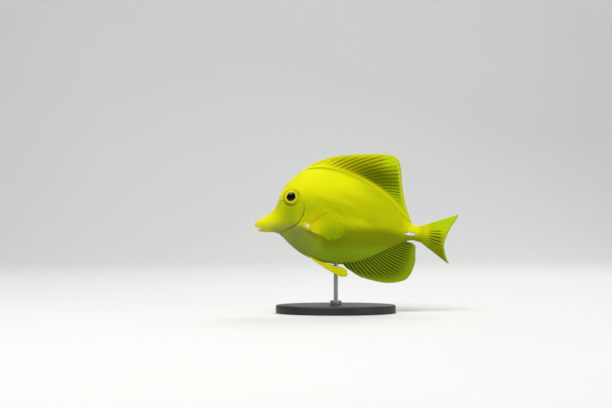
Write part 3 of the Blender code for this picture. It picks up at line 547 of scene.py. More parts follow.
def skin_marks(points):
    """The markings of skin and scales, with painted shade and highlights, as shares from 0 to 1 by place on
    the fish.
    """
    x, z = points[..., 0], points[..., 2]
    level, behind = level_at(x, z), x - gill_opening(z)
    cheek = cheek_share(x) * between(z, *CHEEK_HEIGHTS) * ease(1.5, -1.5, behind)
    cheek = np.maximum(cheek, 0.6 * ridge(spot(x, z, *GILL_PATCH)))
    # Painted shade: the flank darkens from the back downwards and at the top edge of the back, where light
    # from above falls off; faint muscle bands lie over it.
    shade_and_bands = ease(76.5, 53.5, z) * between(x, *FLANK_SPAN)
    shade_and_bands += 0.45 * ease(0.6, 0.85, level) * between(x, *REAR_SPAN)
    shade_and_bands = shade_and_bands * (1 - 0.3 * band(x, z, *LIGHT_BAND)) + 0.12 * band(x, z, *DARK_BAND)
    shade_and_bands += 0.15 * ease(0.84, 1.0, level) * ease(30.0, 44.0, x)
    shade_and_bands += 0.6 * ease(0.9, 0.99, level) * between(x, *CREST_SPAN)
    # Painted shade: olive low on the flank and the lower tail stalk, and in a patch where the streak ends.
    olive = ease(45.0, 34.5, z + 4.5 * ease(94.0, 112.0, x)) * ease(40.0, 54.0, x)
    olive = np.maximum(olive, 0.34 * ridge(spot(x, z, *REAR_PATCH)))
    stalk = ridge(spot(x, z, *STALK_PATCH))
    under = np.maximum(ease(31.0, 21.0, z), ease(45.0, 38.0, z) * ease(56.0, 38.0, x))
    under = under * between(x, *BELLY_SPAN) * (1 - stalk)
    # The jaw share is painted shade, darker lower on the head; the throat share is the throat's own grey.
    jaw = (0.55 + 0.35 * ease(8.0, 18.0, x)) * ease(47.0, 39.5, z)
    throat = np.maximum(ease(41.5, 38.6, z) * ease(5.0, 15.0, x), jaw) * ease(54.0, 27.0, x) * (1 - stalk)
    slit = ridge(behind, np.where(behind > 0, 0.5, 0.3) * (1 + 2.4 * ease(47.0, 41.0, z)))
    # Painted shade in the crease about the eye and in the nostrils.
    crease = eye_shade(x, z, beside_eye(points))
    for hole_x, hole_z, radius in NOSTRILS:
        crease = np.maximum(crease, ease(radius * 1.1, radius * 0.5, np.hypot(x - hole_x, z - hole_z)))
    return {
        "shade_and_bands": shade_and_bands, "cheek": cheek, "olive": olive, "belly": under, "throat": throat, "crease": crease,
        "slit": slit * between(level, *SLIT_LEVELS),
        "root": np.maximum(ridge(spot(x, z, *ROOT_PATCH)), stalk),
        # A painted highlight on the pectoral root.
        "shine": ease(1.5, 0.4, spot(x, z, *SHINE_PATCH)),
        # A painted highlight along the low ridge of the flank.
        "streak": between(z - streak_z(x), *HIGHLIGHT_HEIGHTS) * between(x, *HIGHLIGHT_SPAN),
        "shadow": ridge(spot(x, z, *SHADOW_PATCH)),
    }


def set_marks(mesh, points, corners=1):
    """Stores the markings of places in the fish, each for a number of a mesh's vertices."""
    for name, share in skin_marks(points).items():
        share = np.repeat(np.clip(share, 0.0, 1.0), corners).astype(np.float32)
        mesh.attributes.new(name, "FLOAT", "POINT").data.foreach_set("value", share)


def skin_colour(start):
    """The colour of skin and scales: cloudy markings and painted shade first, and finer marks and painted
    light over them.
    """
    mottle = (start.noise(90.0, 3.0) - 0.5) * 0.2
    colour = BACK_YELLOW
    # The flank shade and the olive are painted shade; below them the crease and shadow are painted shade,
    # and the streak and shine are painted highlights.
    for name, cloud, tone in (("shade_and_bands", mottle, FLANK_SHADE_YELLOW), ("cheek", mottle * 0.5, CHEEK_GREEN),
                              ("olive", mottle, FLANK_OLIVE), ("belly", mottle, BELLY_GREEN)):
        colour = (start.attribute(name) + cloud).step(0.0, 1.0).mix(colour, tone)
    for name, strength, tone in (
        ("throat", 0.9, THROAT_GREY), ("root", 0.7, ROOT_ORANGE), ("streak", 0.8, HIGHLIGHT_YELLOW),
        ("shadow", 0.3, SHADE_DARK), ("shine", 0.9, SHINE_WHITE), ("slit", 0.9, SLIT_GREY),
        ("crease", 0.8, SHADE_DARK),
    ):
        colour = (start.attribute(name) * strength).mix(colour, tone)
    return colour


def skin_pattern(start):
    """A satin skin, velvety with tiny grains."""
    grains = start.add("ShaderNodeTexVoronoi", {}, {"Vector": start.place(), "Scale": 2600.0})
    return {
        "Base Color": skin_colour(start),
        "Roughness": start.noise(420.0) * 0.3 + 0.32,
        "Normal": start.bump(1 - grains, 0.04, 0.35),
    }


skin_finish = finish("tang skin", {"Specular IOR Level": 0.4, "Specular Tint": YELLOW_SHEEN}, skin_pattern)
mouth_lining = finish("mouth lining", {"Base Color": (*MOUTH_BROWN, 1.0), "Roughness": 0.5})
skin = put("skin", skin_mesh(), skin_finish)
shape_skin(skin.data)
cut_with(skin, mouth_cutter(mouth_lining))
round_lips(skin.data)
set_marks(skin.data, fish_mm(vertex_array(skin.data)))
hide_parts("head", "trunk", "tail_stalk")

# The scales. Small bony plates overlap like roof tiles, each rooted in the skin with its rear tip proud of
# it, and give the hide its velvet. They are smallest on the head, and leave the lips, eyes, nostrils, gill
# slit, pectoral roots and blades bare.
SIDES = ((-1, "left"), (1, "right"))
SCALE_ROW, SCALE_STEP, SCALE_LONG, SCALE_WIDE = 0.62, 0.74, 0.9, 0.62
SCALE_FRONT_X, SCALE_BACK_X, SCALE_EDGE, SCALE_LEVELS = 8.5, 119.5, 0.985, 500
SCALE_SUNK, SCALE_PROUD, SCALE_CROWN, SCALE_KEEL = -0.05, 0.05, 0.045, -0.12
SCALE_SEEDS, SIZE_SPREAD, LIFT_SPREAD, TURN_SPREAD = (5, 6), (0.92, 1.08), (0.85, 1.15), 0.05
BARE_EYE, BARE_NOSTRIL, BARE_SLIT, BARE_SLIT_TOP = 8.3, 2.2, 0.9, 0.45
BARE_BLADE, BARE_STALK = (BLADE_MIDDLE, (6.0, 2.8)), ((40.5, 40.5), (7.0, 3.6), 0.4)
BAKE_LENGTH, BAKE_PATCH = 125.0, 0.003


def scale_size(x):
    """How large the scales are along the fish, with 1 on the flank."""
    return 0.64 + 0.36 * ease(8.0, 42.0, x) - 0.2 * ease(96.0, 118.0, x)


def scale_roots():
    """Where the scales of one flank are rooted, in fish millimetres, and each one's turn round the body."""
    levels = np.linspace(-SCALE_EDGE, SCALE_EDGE, SCALE_LEVELS)
    roots, x, row = [], SCALE_FRONT_X, 0
    while x < SCALE_BACK_X:
        z = height_at(x, levels)
        arc = np.concatenate(([0.0], np.cumsum(np.hypot(np.diff(flank(x, levels)), np.diff(z)))))
        arc -= np.interp(0.0, levels, arc)
        step = SCALE_STEP * float(scale_size(x))
        places = (np.arange(math.ceil(arc[0] / step), arc[-1] / step) + (row % 2) / 2) * step
        level = np.interp(places, arc, levels)
        z, turn = np.interp(level, levels, z), np.arccos(level) / (2 * math.pi)
        roots.append(np.stack((np.full_like(z, x), flank(x, level), z, turn), axis=-1))
        x, row = x + SCALE_ROW * float(scale_size(x)), row + 1
    return np.concatenate(roots)


def bare(points):
    """Whether skin has no scales: about the eye, nostrils, gill slit, pectoral root and tail blade."""
    x, z = points[:, 0], points[:, 2]
    holes = [np.hypot(x - hole_x, z - hole_z) < BARE_NOSTRIL * size for hole_x, hole_z, size in NOSTRILS]
    slit = (np.abs(x - gill_opening(z) - 0.2) < BARE_SLIT) & (level_at(x, z) < BARE_SLIT_TOP)
    flat = (spot(x, z, *BARE_BLADE) < 1) | (spot(x, z, *BARE_STALK) < 1)
    return (beside_eye(points) < BARE_EYE) | flat | slit | np.any(holes, axis=0)


def scale_plate():
    """The corners and faces of one flat six-sided plate, its rim rising from its sunk root to its tip."""
    bm = bmesh.new()
    bmesh.ops.create_uvsphere(bm, u_segments=6, v_segments=2, radius=1.0)
    plate = np.array([vert.co for vert in bm.verts])
    corners = np.array([[vert.index for vert in face.verts] for face in bm.faces])
    bm.free()
    rim = SCALE_SUNK + (SCALE_PROUD - SCALE_SUNK) * (1 + plate[:, 0]) / 2
    middle = np.where(plate[:, 2] > 0, SCALE_CROWN, SCALE_KEEL)
    return plate, corners, np.where(np.abs(plate[:, 2]) < 0.5, rim, middle)


def on_skin(points):
    """The nearest places on the skin to model points, and the skin's normals there."""
    hide = bmesh.new()
    hide.from_mesh(skin.data)
    tree = BVHTree.FromBMesh(hide)
    hide.free()
    found = [tree.find_nearest(Vector(point)) for point in points]
    return (np.array([hit[k] for hit in found]) for k in (0, 1))


def scales_mesh(side, seed):
    """All the scales of one side as one mesh of closed plates."""
    plate, corners, high = scale_plate()
    roots = scale_roots()
    roots = roots[~bare(roots[:, :3])]
    root_x, count = roots[:, 0], len(roots)
    place, normal = on_skin(model_points(root_x, side * roots[:, 1], roots[:, 2]))
    random = np.random.default_rng(seed)
    size = scale_size(root_x) * random.uniform(*SIZE_SPREAD, count) * SCALE_STEP
    rear = np.array((1.0, 0.0, 0.0)) + random.normal(0.0, TURN_SPREAD, normal.shape)
    rear -= normal * np.sum(rear * normal, axis=1)[:, None]
    rear /= np.linalg.norm(rear, axis=1)[:, None]
    across = np.cross(normal, rear)
    lift = random.uniform(*LIFT_SPREAD, count)
    sunk = SCALE_PROUD * (1 - between(root_x, SCALE_FRONT_X, 14.0, 116.0, SCALE_BACK_X))
    points = place[:, None] + MM * (
        rear[:, None] * (size[:, None] * SCALE_LONG * plate[:, 0])[..., None]
        + across[:, None] * (size[:, None] * SCALE_WIDE * plate[:, 1])[..., None]
        + normal[:, None] * (lift[:, None] * high - sunk[:, None])[..., None]
    )
    faces = (np.arange(count)[:, None, None] * len(plate) + corners).reshape(-1, 3)
    mesh = bpy.data.meshes.new("scales")
    mesh.from_pydata(points.reshape(-1, 3), [], faces)
    turn = 0.5 - side * (0.5 - roots[:, 3])
    patch = np.stack((root_x / BAKE_LENGTH, turn), axis=-1)[:, None] + plate[:, :2] * BAKE_PATCH / 2
    mesh.uv_layers.new(name="OFBake").data.foreach_set("uv", patch.reshape(-1, 2)[faces.ravel()].ravel())
    set_marks(mesh, fish_mm(place), len(plate))
    return mesh


for (side, word), seed in zip(SIDES, SCALE_SEEDS):
    scales = put(f"scales_{word}", scales_mesh(side, seed), skin_finish)
    scales.data.shade_flat()

# The eyes. Each is a glass-smooth ball in its socket, with a blue-black pupil in a yellow iris with a thin
# gold ring, under a low dome. It looks square out of the head and has a painted brown shadow over the
# pupil.
PUPIL_RADIUS, PUPIL_OVAL, PUPIL_TILT = 3.2, 0.075, 0.4
DOME_RISE, DOME_WIDTH, EYE_ROUNDS, EYE_STEPS = 0.3, 3.0, 49, 72
PUPIL_BLACK, IRIS_YELLOW, IRIS_GOLD = paint(4, 4, 10), paint(226, 218, 4), paint(246, 226, 30)
# The brow colour is a painted shadow.
IRIS_BRONZE, BROW_SHADOW = paint(150, 128, 8), paint(84, 62, 8)


def eye_pattern(start):
    """Rings of colour about the pupil: fine fibres in the iris, bronze below and a painted brown shadow
    above.
    """
    away, height = start.attribute("away"), start.fish()[1] - EYE_Z
    iris = (start.noise(1500.0, 3.0).step(0.35, 0.7) * 0.3).mix(IRIS_YELLOW, IRIS_BRONZE)
    iris = away.step(PUPIL_RADIUS + 0.6, PUPIL_RADIUS + 0.2).mix(iris, IRIS_GOLD)
    iris = (away.step(4.9, 5.4) * height.step(3.0, -3.0) * 0.5).mix(iris, IRIS_BRONZE)
    # A painted brown shadow above the pupil.
    iris = (away.step(4.1, 3.6) * height.step(1.8, 3.2) * 0.8).mix(iris, BROW_SHADOW)
    return {"Base Color": away.step(PUPIL_RADIUS + 0.1, PUPIL_RADIUS - 0.05).mix(iris, PUPIL_BLACK)}


def eyeball_mesh(side, name):
    """A low ball turned about its line of sight, and how far each place lies from the pupil's middle."""
    bm = bmesh.new()
    line = []
    for angle in np.linspace(0, math.pi, EYE_ROUNDS):
        across, up = EYE_RADIUS * math.sin(angle), EYE_HALF_DEPTH * math.cos(angle)
        dome = DOME_RISE * math.exp(-((across / DOME_WIDTH) ** 2)) * (up > 0)
        line.append(bm.verts.new((across, 0.0, up + dome)))
    rim = [bm.edges.new(pair) for pair in zip(line, line[1:])]
    bmesh.ops.spin(bm, geom=line + rim, cent=(0, 0, 0), axis=(0, 0, 1), angle=2 * math.pi, steps=EYE_STEPS,
                   use_merge=True, use_duplicate=False)
    bmesh.ops.remove_doubles(bm, verts=bm.verts, dist=TOUCHING / MM)
    away = []
    for vert in bm.verts:
        radius, angle = math.hypot(vert.co.x, vert.co.y), math.atan2(vert.co.y, -side * vert.co.x)
        oval = 1 + PUPIL_OVAL * math.cos(2 * (angle - PUPIL_TILT)) * float(ease(4.4, 3.4, radius))
        away.append(radius / oval if vert.co.z > 0 else EYE_RADIUS)
    centre, out = eye_axis(side)
    turn = out.to_track_quat("Z", "Y").to_matrix().to_4x4()
    bm.transform(Matrix.Translation(FISH_DATUM + centre * MM) @ turn @ Matrix.Scale(MM, 4))
    mesh = finished_mesh(bm, name)
    mesh.attributes.new("away", "FLOAT", "POINT").data.foreach_set("value", np.array(away, np.float32))
    return mesh


eye_finish = finish("tang eye", {"Roughness": 0.06, "Specular IOR Level": 0.18}, eye_pattern)
for side, word in SIDES:
    eyeball = put(f"eyeball_{word}", eyeball_mesh(side, f"eyeball_{word}"), eye_finish)
    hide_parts(f"eye_{word}")

# The fins. Each is a thin skin stretched over bony rays that fork towards its edge. It is one closed sheet,
# bent from a grid whose two faces meet at the edge, with the rays raised in it and the webs olive between.
DORSAL_RAYS = (
    (0, 37.2, 41.6, 87.1), (2, 43.4, 57.5, 92.6), (4, 51.5, 71.9, 94.2), (6, 58.7, 89.3, 94.6),
    (7, 62.1, 96.6, 94.5), (8, 65.5, 102.0, 93.0), (9, 68.5, 105.0, 90.6), (10, 71.4, 106.4, 87.2),
    (12, 77.0, 107.5, 80.9), (14, 82.8, 107.9, 74.9), (16, 88.5, 108.5, 69.3), (20, 98.2, 110.3, 59.3),
    (24, 106.0, 112.6, 51.1), (26, 109.8, 113.9, 47.4), (28, 113.2, 115.6, 42.4),
)
ANAL_RAYS = (
    (0, 64.7, 68.7, 9.9), (2, 70.2, 78.6, 4.0), (6, 79.4, 98.4, 0.0), (9, 85.3, 109.4, 1.8),
    (12, 90.7, 114.9, 7.7), (16, 98.1, 117.9, 17.6), (20, 105.8, 118.0, 26.5), (22, 110.9, 115.5, 29.5),
)
CAUDAL_RAYS = (
    (0, 0.93, 149.6, 50.2), (1, 0.87, 149.2, 48.8), (2, 0.79, 148.2, 46.8), (3, 0.69, 146.5, 44.5),
    (5, 0.47, 143.2, 39.2), (7, 0.17, 140.5, 33.7), (9, -0.20, 138.9, 27.6), (11, -0.475, 139.5, 22.4),
    (13, -0.69, 141.0, 17.5), (15, -0.89, 142.9, 13.2),
)
CAUDAL_CUP, CAUDAL_MIDDLE_Z, CAUDAL_HALF_SPAN, TAIL_TIP_X = 3.0, 32.0, 18.5, 149.6
COLUMNS_A_RAY, FIN_ROWS, OUTLINE_POINTS, SLOPE_STEP = 12, 34, 400, 0.1
RAY_WIDTH, RAY_TAPER, FORKS_FROM, FLARE_REACH, SIDE_ROUNDING = 0.13, 0.035, 0.4, 1.4, 0.35
UPRIGHT_GAUGE = {"web": (0.4, 0.16), "proud": (0.08, 0.14), "flare": 0.085, "notch": 0.22, "sink": 1.6}
CAUDAL_GAUGE = {"web": (0.85, 0.16), "proud": (0.22, 0.12), "flare": 0.0, "notch": 0.22, "sink": 3.5}
# The dorsal olive, the anal olive and rim, and the caudal olive and dark are painted shade.
RAY_YELLOW, RAY_DULL, RAY_GREEN = paint(228, 224, 2), paint(188, 190, 2), paint(164, 194, 4)
RAY_SHADE, WEB_DARK, RIM_YELLOW = paint(98, 110, 0), paint(66, 70, 0), paint(212, 216, 2)
FRONT_YELLOW, CORNER_GREEN, BASE_YELLOW = paint(242, 238, 2), paint(200, 222, 4), paint(208, 212, 0)
ANAL_SHADE, ANAL_SHADE_RIM, ANAL_DARK = paint(108, 130, 6), paint(140, 166, 10), paint(28, 36, 2)
CAUDAL_ROOT, CAUDAL_YELLOW, CAUDAL_SHADE = paint(222, 222, 2), paint(190, 216, 4), paint(142, 156, 2)
CAUDAL_DEEP_SHADE, CAUDAL_RIM = paint(116, 126, 2), paint(182, 202, 4)
FIN_CONSTANTS = {"Specular IOR Level": 0.35, "Specular Tint": YELLOW_SHEEN}


def ray_lines(table, roots):
    """Root and tip of the fin at any ray number, whole or not, and the last ray's number."""
    numbers = [row[0] for row in table]
    named = [smooth([(n, row[k]) for n, row in zip(numbers, table)]) for k in (1, 2, 3)]

    def line(number):
        root_x, root_z = roots(named[0](number))
        return root_x, root_z, named[1](number), named[2](number)

    return line, numbers[-1]


def fin_mesh(name, rays, sway, web, proud, flare, notch, sink, bow=0.0, side=1, spines=0, branch=0.17):
    """A fin's closed mesh, with one map of ray number and reach, and one of the ways in from edge and root.

    Web is the half thickness of the web and proud what a ray adds to it, each at root and edge. Flare is
    the fillet at the root as a share of the body's width, notch the depth of the scallops, sink how deep
    the root goes in, and bow how far the rays bend. The first rays are plain spines, and the rest fork.
    """
    line, last_ray = rays
    bm = bmesh.new()
    bmesh.ops.create_grid(bm, x_segments=last_ray * COLUMNS_A_RAY, y_segments=2 * FIN_ROWS, size=1.0)
    grid = np.array([vert.co for vert in bm.verts])
    number = (grid[:, 0] + 1) / 2 * last_ray
    face = np.sign(np.where(np.isclose(grid[:, 1], 0.0), 0.0, grid[:, 1]))
    share = 1 - np.abs(grid[:, 1])
    root_x, root_z, tip_x, tip_z = line(number)
    run_x, run_z = tip_x - root_x, tip_z - root_z
    length = np.hypot(run_x, run_z)
    off_ray = np.abs(number - np.rint(number))
    scallop = 1 - notch * np.sin(np.pi * off_ray) ** 2 / np.maximum(length, 4.0)
    reach = -sink / length + (scallop + sink / length) * share ** 0.9
    clear = np.clip(reach, 0.0, 1.0)
    lean = bow * 4 * reach * (1 - reach)
    x, z = root_x + run_x * reach - run_z * lean, root_z + run_z * reach + run_x * lean
    fork = branch * ease(FORKS_FROM, 1.0, reach) * (number >= spines)
    ray = ridge(off_ray - fork, RAY_WIDTH - RAY_TAPER * clear)
    thick = web[0] + (web[1] - web[0]) * clear + ray * (proud[0] + (proud[1] - proud[0]) * clear)
    thick = thick + flare * half_width(root_x) * np.exp(-np.clip(reach * length, -0.4, None) / FLARE_REACH)
    thick = thick * np.sqrt(np.clip(1 - share**14, 0.0, 1.0)) * ease(0.0, 0.02, share)
    thick = thick * np.sqrt(between(number, 0.0, SIDE_ROUNDING, last_ray - SIDE_ROUNDING, last_ray))
    slope_x = (sway(x + SLOPE_STEP, z) - sway(x - SLOPE_STEP, z)) / (2 * SLOPE_STEP)
    slope_z = (sway(x, z + SLOPE_STEP) - sway(x, z - SLOPE_STEP)) / (2 * SLOPE_STEP)
    size = np.sqrt(slope_x**2 + slope_z**2 + 1)
    y = side * (sway(x, z) + thick * face / size)
    x, z = x - slope_x / size * thick * face, z - slope_z / size * thick * face
    set_places(bm, x, y, z)
    outline = np.array(line(np.linspace(0.0, last_ray, OUTLINE_POINTS))[2:])
    inward = np.min(np.hypot(x[:, None] - outline[0], z[:, None] - outline[1]), axis=1)
    layer, edge = bm.loops.layers.uv.new("rays"), bm.loops.layers.uv.new("edge")
    shares = dict(zip(bm.verts, zip(number, clear, inward, reach * length)))
    for polygon in bm.faces:
        for loop in polygon.loops:
            place = shares[loop.vert]
            loop[layer].uv, loop[edge].uv = place[:2], place[2:]
    bmesh.ops.remove_doubles(bm, verts=bm.verts, dist=TOUCHING)
    return finished_mesh(bm, name)


def ray_places(start):
    """The share from a ray, 0, to the middle of the web, 1, and the share of the way to the fin's edge."""
    number, reach = start.parts(start.add("ShaderNodeUVMap", {"uv_map": "rays"}), (0, 1))
    return start.maths("ABSOLUTE", number - start.maths("ROUND", number)) * 2.0, reach


def from_sides(start):
    """How far in from the fin's outline and up from its root, in millimetres."""
    return start.parts(start.add("ShaderNodeUVMap", {"uv_map": "edge"}), (0, 1))


def fin_looks(start, colour):
    """A satin, faintly rough membrane of a colour."""
    return {
        "Base Color": colour,
        "Roughness": start.noise(260.0, 3.0) * 0.3 + 0.3,
        "Normal": start.bump(start.noise(2200.0), 0.03, 0.4),
    }


def dorsal_pattern(start):
    """Yellow in front, thin dark lines between the rays behind, and a patch of painted olive shade along
    the back.
    """
    (x, z), (web, reach), (inward, off_root) = start.fish(), ray_places(start), from_sides(start)
    rim = inward.step(3.4, 1.2)
    colour = x.step(48.0, 68.0).mix(FRONT_YELLOW, RAY_DULL)
    colour = (x.step(88.0, 103.0) * z.step(50.0, 62.0)).mix(colour, RAY_GREEN)
    # Painted shade: an olive patch over the rays along the back.
    colour = start.oval((89.5, 77.5), (30.0, 13.5), 0.34).mix(colour, RAY_SHADE)
    colour = (x.step(90.0, 98.0) * z.step(84.0, 88.5) * 0.8).mix(colour, CORNER_GREEN)
    colour = off_root.step(5.5, 0.3).mix(colour, x.step(40.0, 74.0).mix(BACK_YELLOW, BASE_YELLOW))
    colour = (rim * 0.7).mix(colour, RIM_YELLOW)
    shown = x.step(48.0, 62.0) * z.step(54.0, 66.0) * (1 - rim)
    shown = shown * (1 - x.step(92.0, 101.0) * z.step(80.0, 88.0) * 0.8) * off_root.step(0.6, 5.5)
    return fin_looks(start, (web.step(0.55, 0.9) * shown * 0.9).mix(colour, WEB_DARK))


def anal_pattern(start):
    """Painted olive shade over the yellow fin, with near-black lines between the rays that fade out towards
    a paler rim.
    """
    web, reach = ray_places(start)
    # Painted shade: the olive fin and its paler rim.
    colour = reach.step(0.7, 1.0).mix(ANAL_SHADE, ANAL_SHADE_RIM)
    return fin_looks(start, (web.step(0.4, 0.75) * reach.step(0.85, 0.5) * 0.95).mix(colour, ANAL_DARK))


def caudal_pattern(start):
    """Green-yellow above and olive below as painted shade, darkest at the bottom, with short dark lines
    between the middle rays.
    """
    (x, z), (web, reach) = start.fish(), ray_places(start)
    colour = x.step(124.0, 132.0).mix(CAUDAL_ROOT, CAUDAL_YELLOW)
    # Painted shade: olive on the lower lobe, darker still towards its lower edge.
    colour = (z.step(39.0, 31.0) * (1 - x.step(133.0, 141.0) * 0.3)).mix(colour, CAUDAL_SHADE)
    colour = z.step(31.0, 23.0).mix(colour, CAUDAL_DEEP_SHADE)
    colour = (reach.step(0.86, 0.97) * 0.6).mix(colour, CAUDAL_RIM)
    middle = x.step(126.5, 130.0) * x.step(138.5, 134.5) * z.step(25.5, 28.5) * z.step(40.0, 37.5)
    return fin_looks(start, (web.step(0.35, 0.75) * (middle * 0.85 + 0.05)).mix(colour, WEB_DARK))


def place_fin(name, mesh, look, node):
    """Puts a fin in place of its node."""
    made = put(name, mesh, look)
    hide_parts(node)


def upright(x, z):
    """The upright fins lie in the fish's middle plane, with the faintest wave."""
    return 0.25 * np.sin(0.13 * x + 0.21 * z)


def caudal_sway(x, z):
    """The tail fin is cupped to one side, most at its tips."""
    back_share = np.maximum(x - TAIL_ROOT_X, 0.0) / (TAIL_TIP_X - TAIL_ROOT_X)
    return CAUDAL_CUP * (back_share * (z - CAUDAL_MIDDLE_Z) / CAUDAL_HALF_SPAN) ** 2


def caudal_roots(level):
    x = tail_root_x(level)
    return x, height_at(x, level)


dorsal_rays = ray_lines(DORSAL_RAYS, lambda x: (x, back(x)))
anal_rays = ray_lines(ANAL_RAYS, lambda x: (x, belly(x)))
caudal_rays = ray_lines(CAUDAL_RAYS, caudal_roots)
dorsal = fin_mesh("dorsal", dorsal_rays, upright, **UPRIGHT_GAUGE, bow=0.042, spines=5)
anal = fin_mesh("anal", anal_rays, upright, **UPRIGHT_GAUGE, bow=-0.035, spines=3)
caudal = fin_mesh("caudal", caudal_rays, caudal_sway, **CAUDAL_GAUGE)
place_fin("dorsal_fin_skin", dorsal, finish("dorsal fin", FIN_CONSTANTS, dorsal_pattern), "dorsal_fin")
place_fin("anal_fin_skin", anal, finish("anal fin", FIN_CONSTANTS, anal_pattern), "anal_fin")
place_fin("caudal_fin_skin", caudal, finish("caudal fin", FIN_CONSTANTS, caudal_pattern), "caudal_fin")

# The paired fins. The pectoral fin fans out from the end of its fleshy root, clear of the flank and thin
# enough to show it through the webs; the narrow pelvic fin folds back along the belly.
PECTORAL_RAYS = (
    (0, 0.0, 55.9, 52.4), (3, 0.21, 62.1, 50.2), (6, 0.43, 66.2, 45.1), (9, 0.64, 66.2, 38.5),
    (12, 0.86, 61.0, 33.0), (14, 1.0, 53.0, 31.5),
)
PECTORAL_ROOT = ((41.6, 43.6), (44.5, 37.0))
PELVIC_RAYS = (
    (0, 38.6, 63.2, 4.8), (1, 39.6, 66.2, 4.9), (2, 40.6, 68.0, 6.7), (3, 41.6, 67.3, 9.2),
    (4, 42.6, 64.0, 11.3), (5, 43.4, 58.8, 12.4),
)
PECTORAL_LEAN, PECTORAL_CURL, PECTORAL_STAND_OFF = 0.58, 0.006, 1.2
PELVIC_ROOT_Y, PELVIC_LEAN, PELVIC_ROOT_RISE = 1.9, 0.13, 1.0
PECTORAL_GAUGE = {"web": (0.5, 0.1), "proud": (0.08, 0.04), "flare": 0.0, "notch": 0.08, "sink": 2.5}
PELVIC_GAUGE = {"web": (0.6, 0.18), "proud": (0.22, 0.12), "flare": 0.0, "notch": 0.2, "sink": 1.5}
# The pectoral green is painted shade.
PECTORAL_ORANGE, PECTORAL_YELLOW = paint(222, 208, 2), paint(208, 212, 2)
PECTORAL_SHADE = paint(150, 180, 2)


def pectoral_sway(x, z):
    """The pectoral fin swings out from its root on the flank and curls back towards it."""
    (top_x, top_z), (low_x, low_z) = PECTORAL_ROOT
    root_x = top_x + (low_x - top_x) * (top_z - z) / (top_z - low_z) * 0.5
    out = np.maximum(x - np.minimum(root_x, top_x + 2.0), 0.0)
    return float(flank_at(top_x, top_z)) + PECTORAL_STAND_OFF + PECTORAL_LEAN * out - PECTORAL_CURL * out**2


def pectoral_roots(share):
    (top_x, top_z), (low_x, low_z) = PECTORAL_ROOT
    return top_x + (low_x - top_x) * share, top_z + (low_z - top_z) * share


def pelvic_sway(x, z):
    """The pelvic fins splay a little from the keel of the belly."""
    return PELVIC_ROOT_Y + PELVIC_LEAN * (x - PELVIC_RAYS[0][1])


def pectoral_pattern(start):
    """Clear and yellow above, green below as painted shade, a painted highlight, faint rays, and
    orange-yellow at the root.
    """
    (x, z), (web, reach) = start.fish(), ray_places(start)
    # Painted shade: darker green towards the lower rear of the fin.
    colour = (50.0 - z + (x - 50.0) * 0.25).step(3.0, 18.0).mix(PECTORAL_YELLOW, PECTORAL_SHADE)
    # A painted highlight where the flank's bright streak runs over the fin.
    colour = (start.oval((64.0, 46.5), (10.0, 4.5), 0.3) * 0.8).mix(colour, HIGHLIGHT_YELLOW)
    colour = reach.step(0.35, 0.0).mix(colour, PECTORAL_ORANGE)
    looks = fin_looks(start, (web.step(0.6, 1.0) * 0.06).mix(colour, FLANK_OLIVE))
    clear = web.step(0.1, 0.6) * 0.1 + 0.38
    looks["Alpha"] = 1 - reach.step(0.1, 0.7) * clear - reach.step(0.72, 1.0) * 0.25
    return looks


def pelvic_pattern(start):
    """Bright yellow rays with faintly darker webs."""
    web, reach = ray_places(start)
    return fin_looks(start, (web.step(0.4, 0.9) * 0.35).mix(RAY_YELLOW, RAY_GREEN))


pectoral_finish = finish("pectoral fin", FIN_CONSTANTS, pectoral_pattern)
pelvic_finish = finish("pelvic fin", FIN_CONSTANTS, pelvic_pattern)
pectoral_rays = ray_lines(PECTORAL_RAYS, pectoral_roots)
pelvic_rays = ray_lines(PELVIC_RAYS, lambda x: (x, belly(x) + PELVIC_ROOT_RISE))
for side, word in SIDES:
    mesh = fin_mesh(f"pectoral_{word}", pectoral_rays, pectoral_sway, **PECTORAL_GAUGE,
                    bow=0.035, side=side, spines=1, branch=0.2)
    place_fin(f"pectoral_fin_{word}_skin", mesh, pectoral_finish, f"pectoral_fin_{word}")
    mesh = fin_mesh(f"pelvic_{word}", pelvic_rays, pelvic_sway, **PELVIC_GAUGE,
                    bow=-0.035, side=side, spines=1)
    place_fin(f"pelvic_fin_{word}_skin", mesh, pelvic_finish, f"pelvic_fin_{word}")

# The tail blades. A white thorn of hard, smooth bone lies in its groove on each side of the tail stalk,
# its point forward and its blunt root behind.
BLADE_HALF_HEIGHT, BLADE_HALF_DEPTH, BLADE_STANDS_OUT, BLADE_POINT = 1.3, 0.9, 0.25, 0.35
BLADE_ROUNDS, BLADE_STEPS = 28, 32
BLADE_WHITE, BLADE_SHADE = paint(228, 230, 246), paint(206, 210, 228)


def blade_pattern(start):
    """White with a faint grain along the blade."""
    grain = start.noise(700.0, 3.0, where=start.stretched(0.2, 1.0, 1.0))
    colour = grain.step(0.35, 0.7).mix(BLADE_WHITE, BLADE_SHADE)
    return {"Base Color": colour, "Roughness": grain * 0.3 + 0.12}


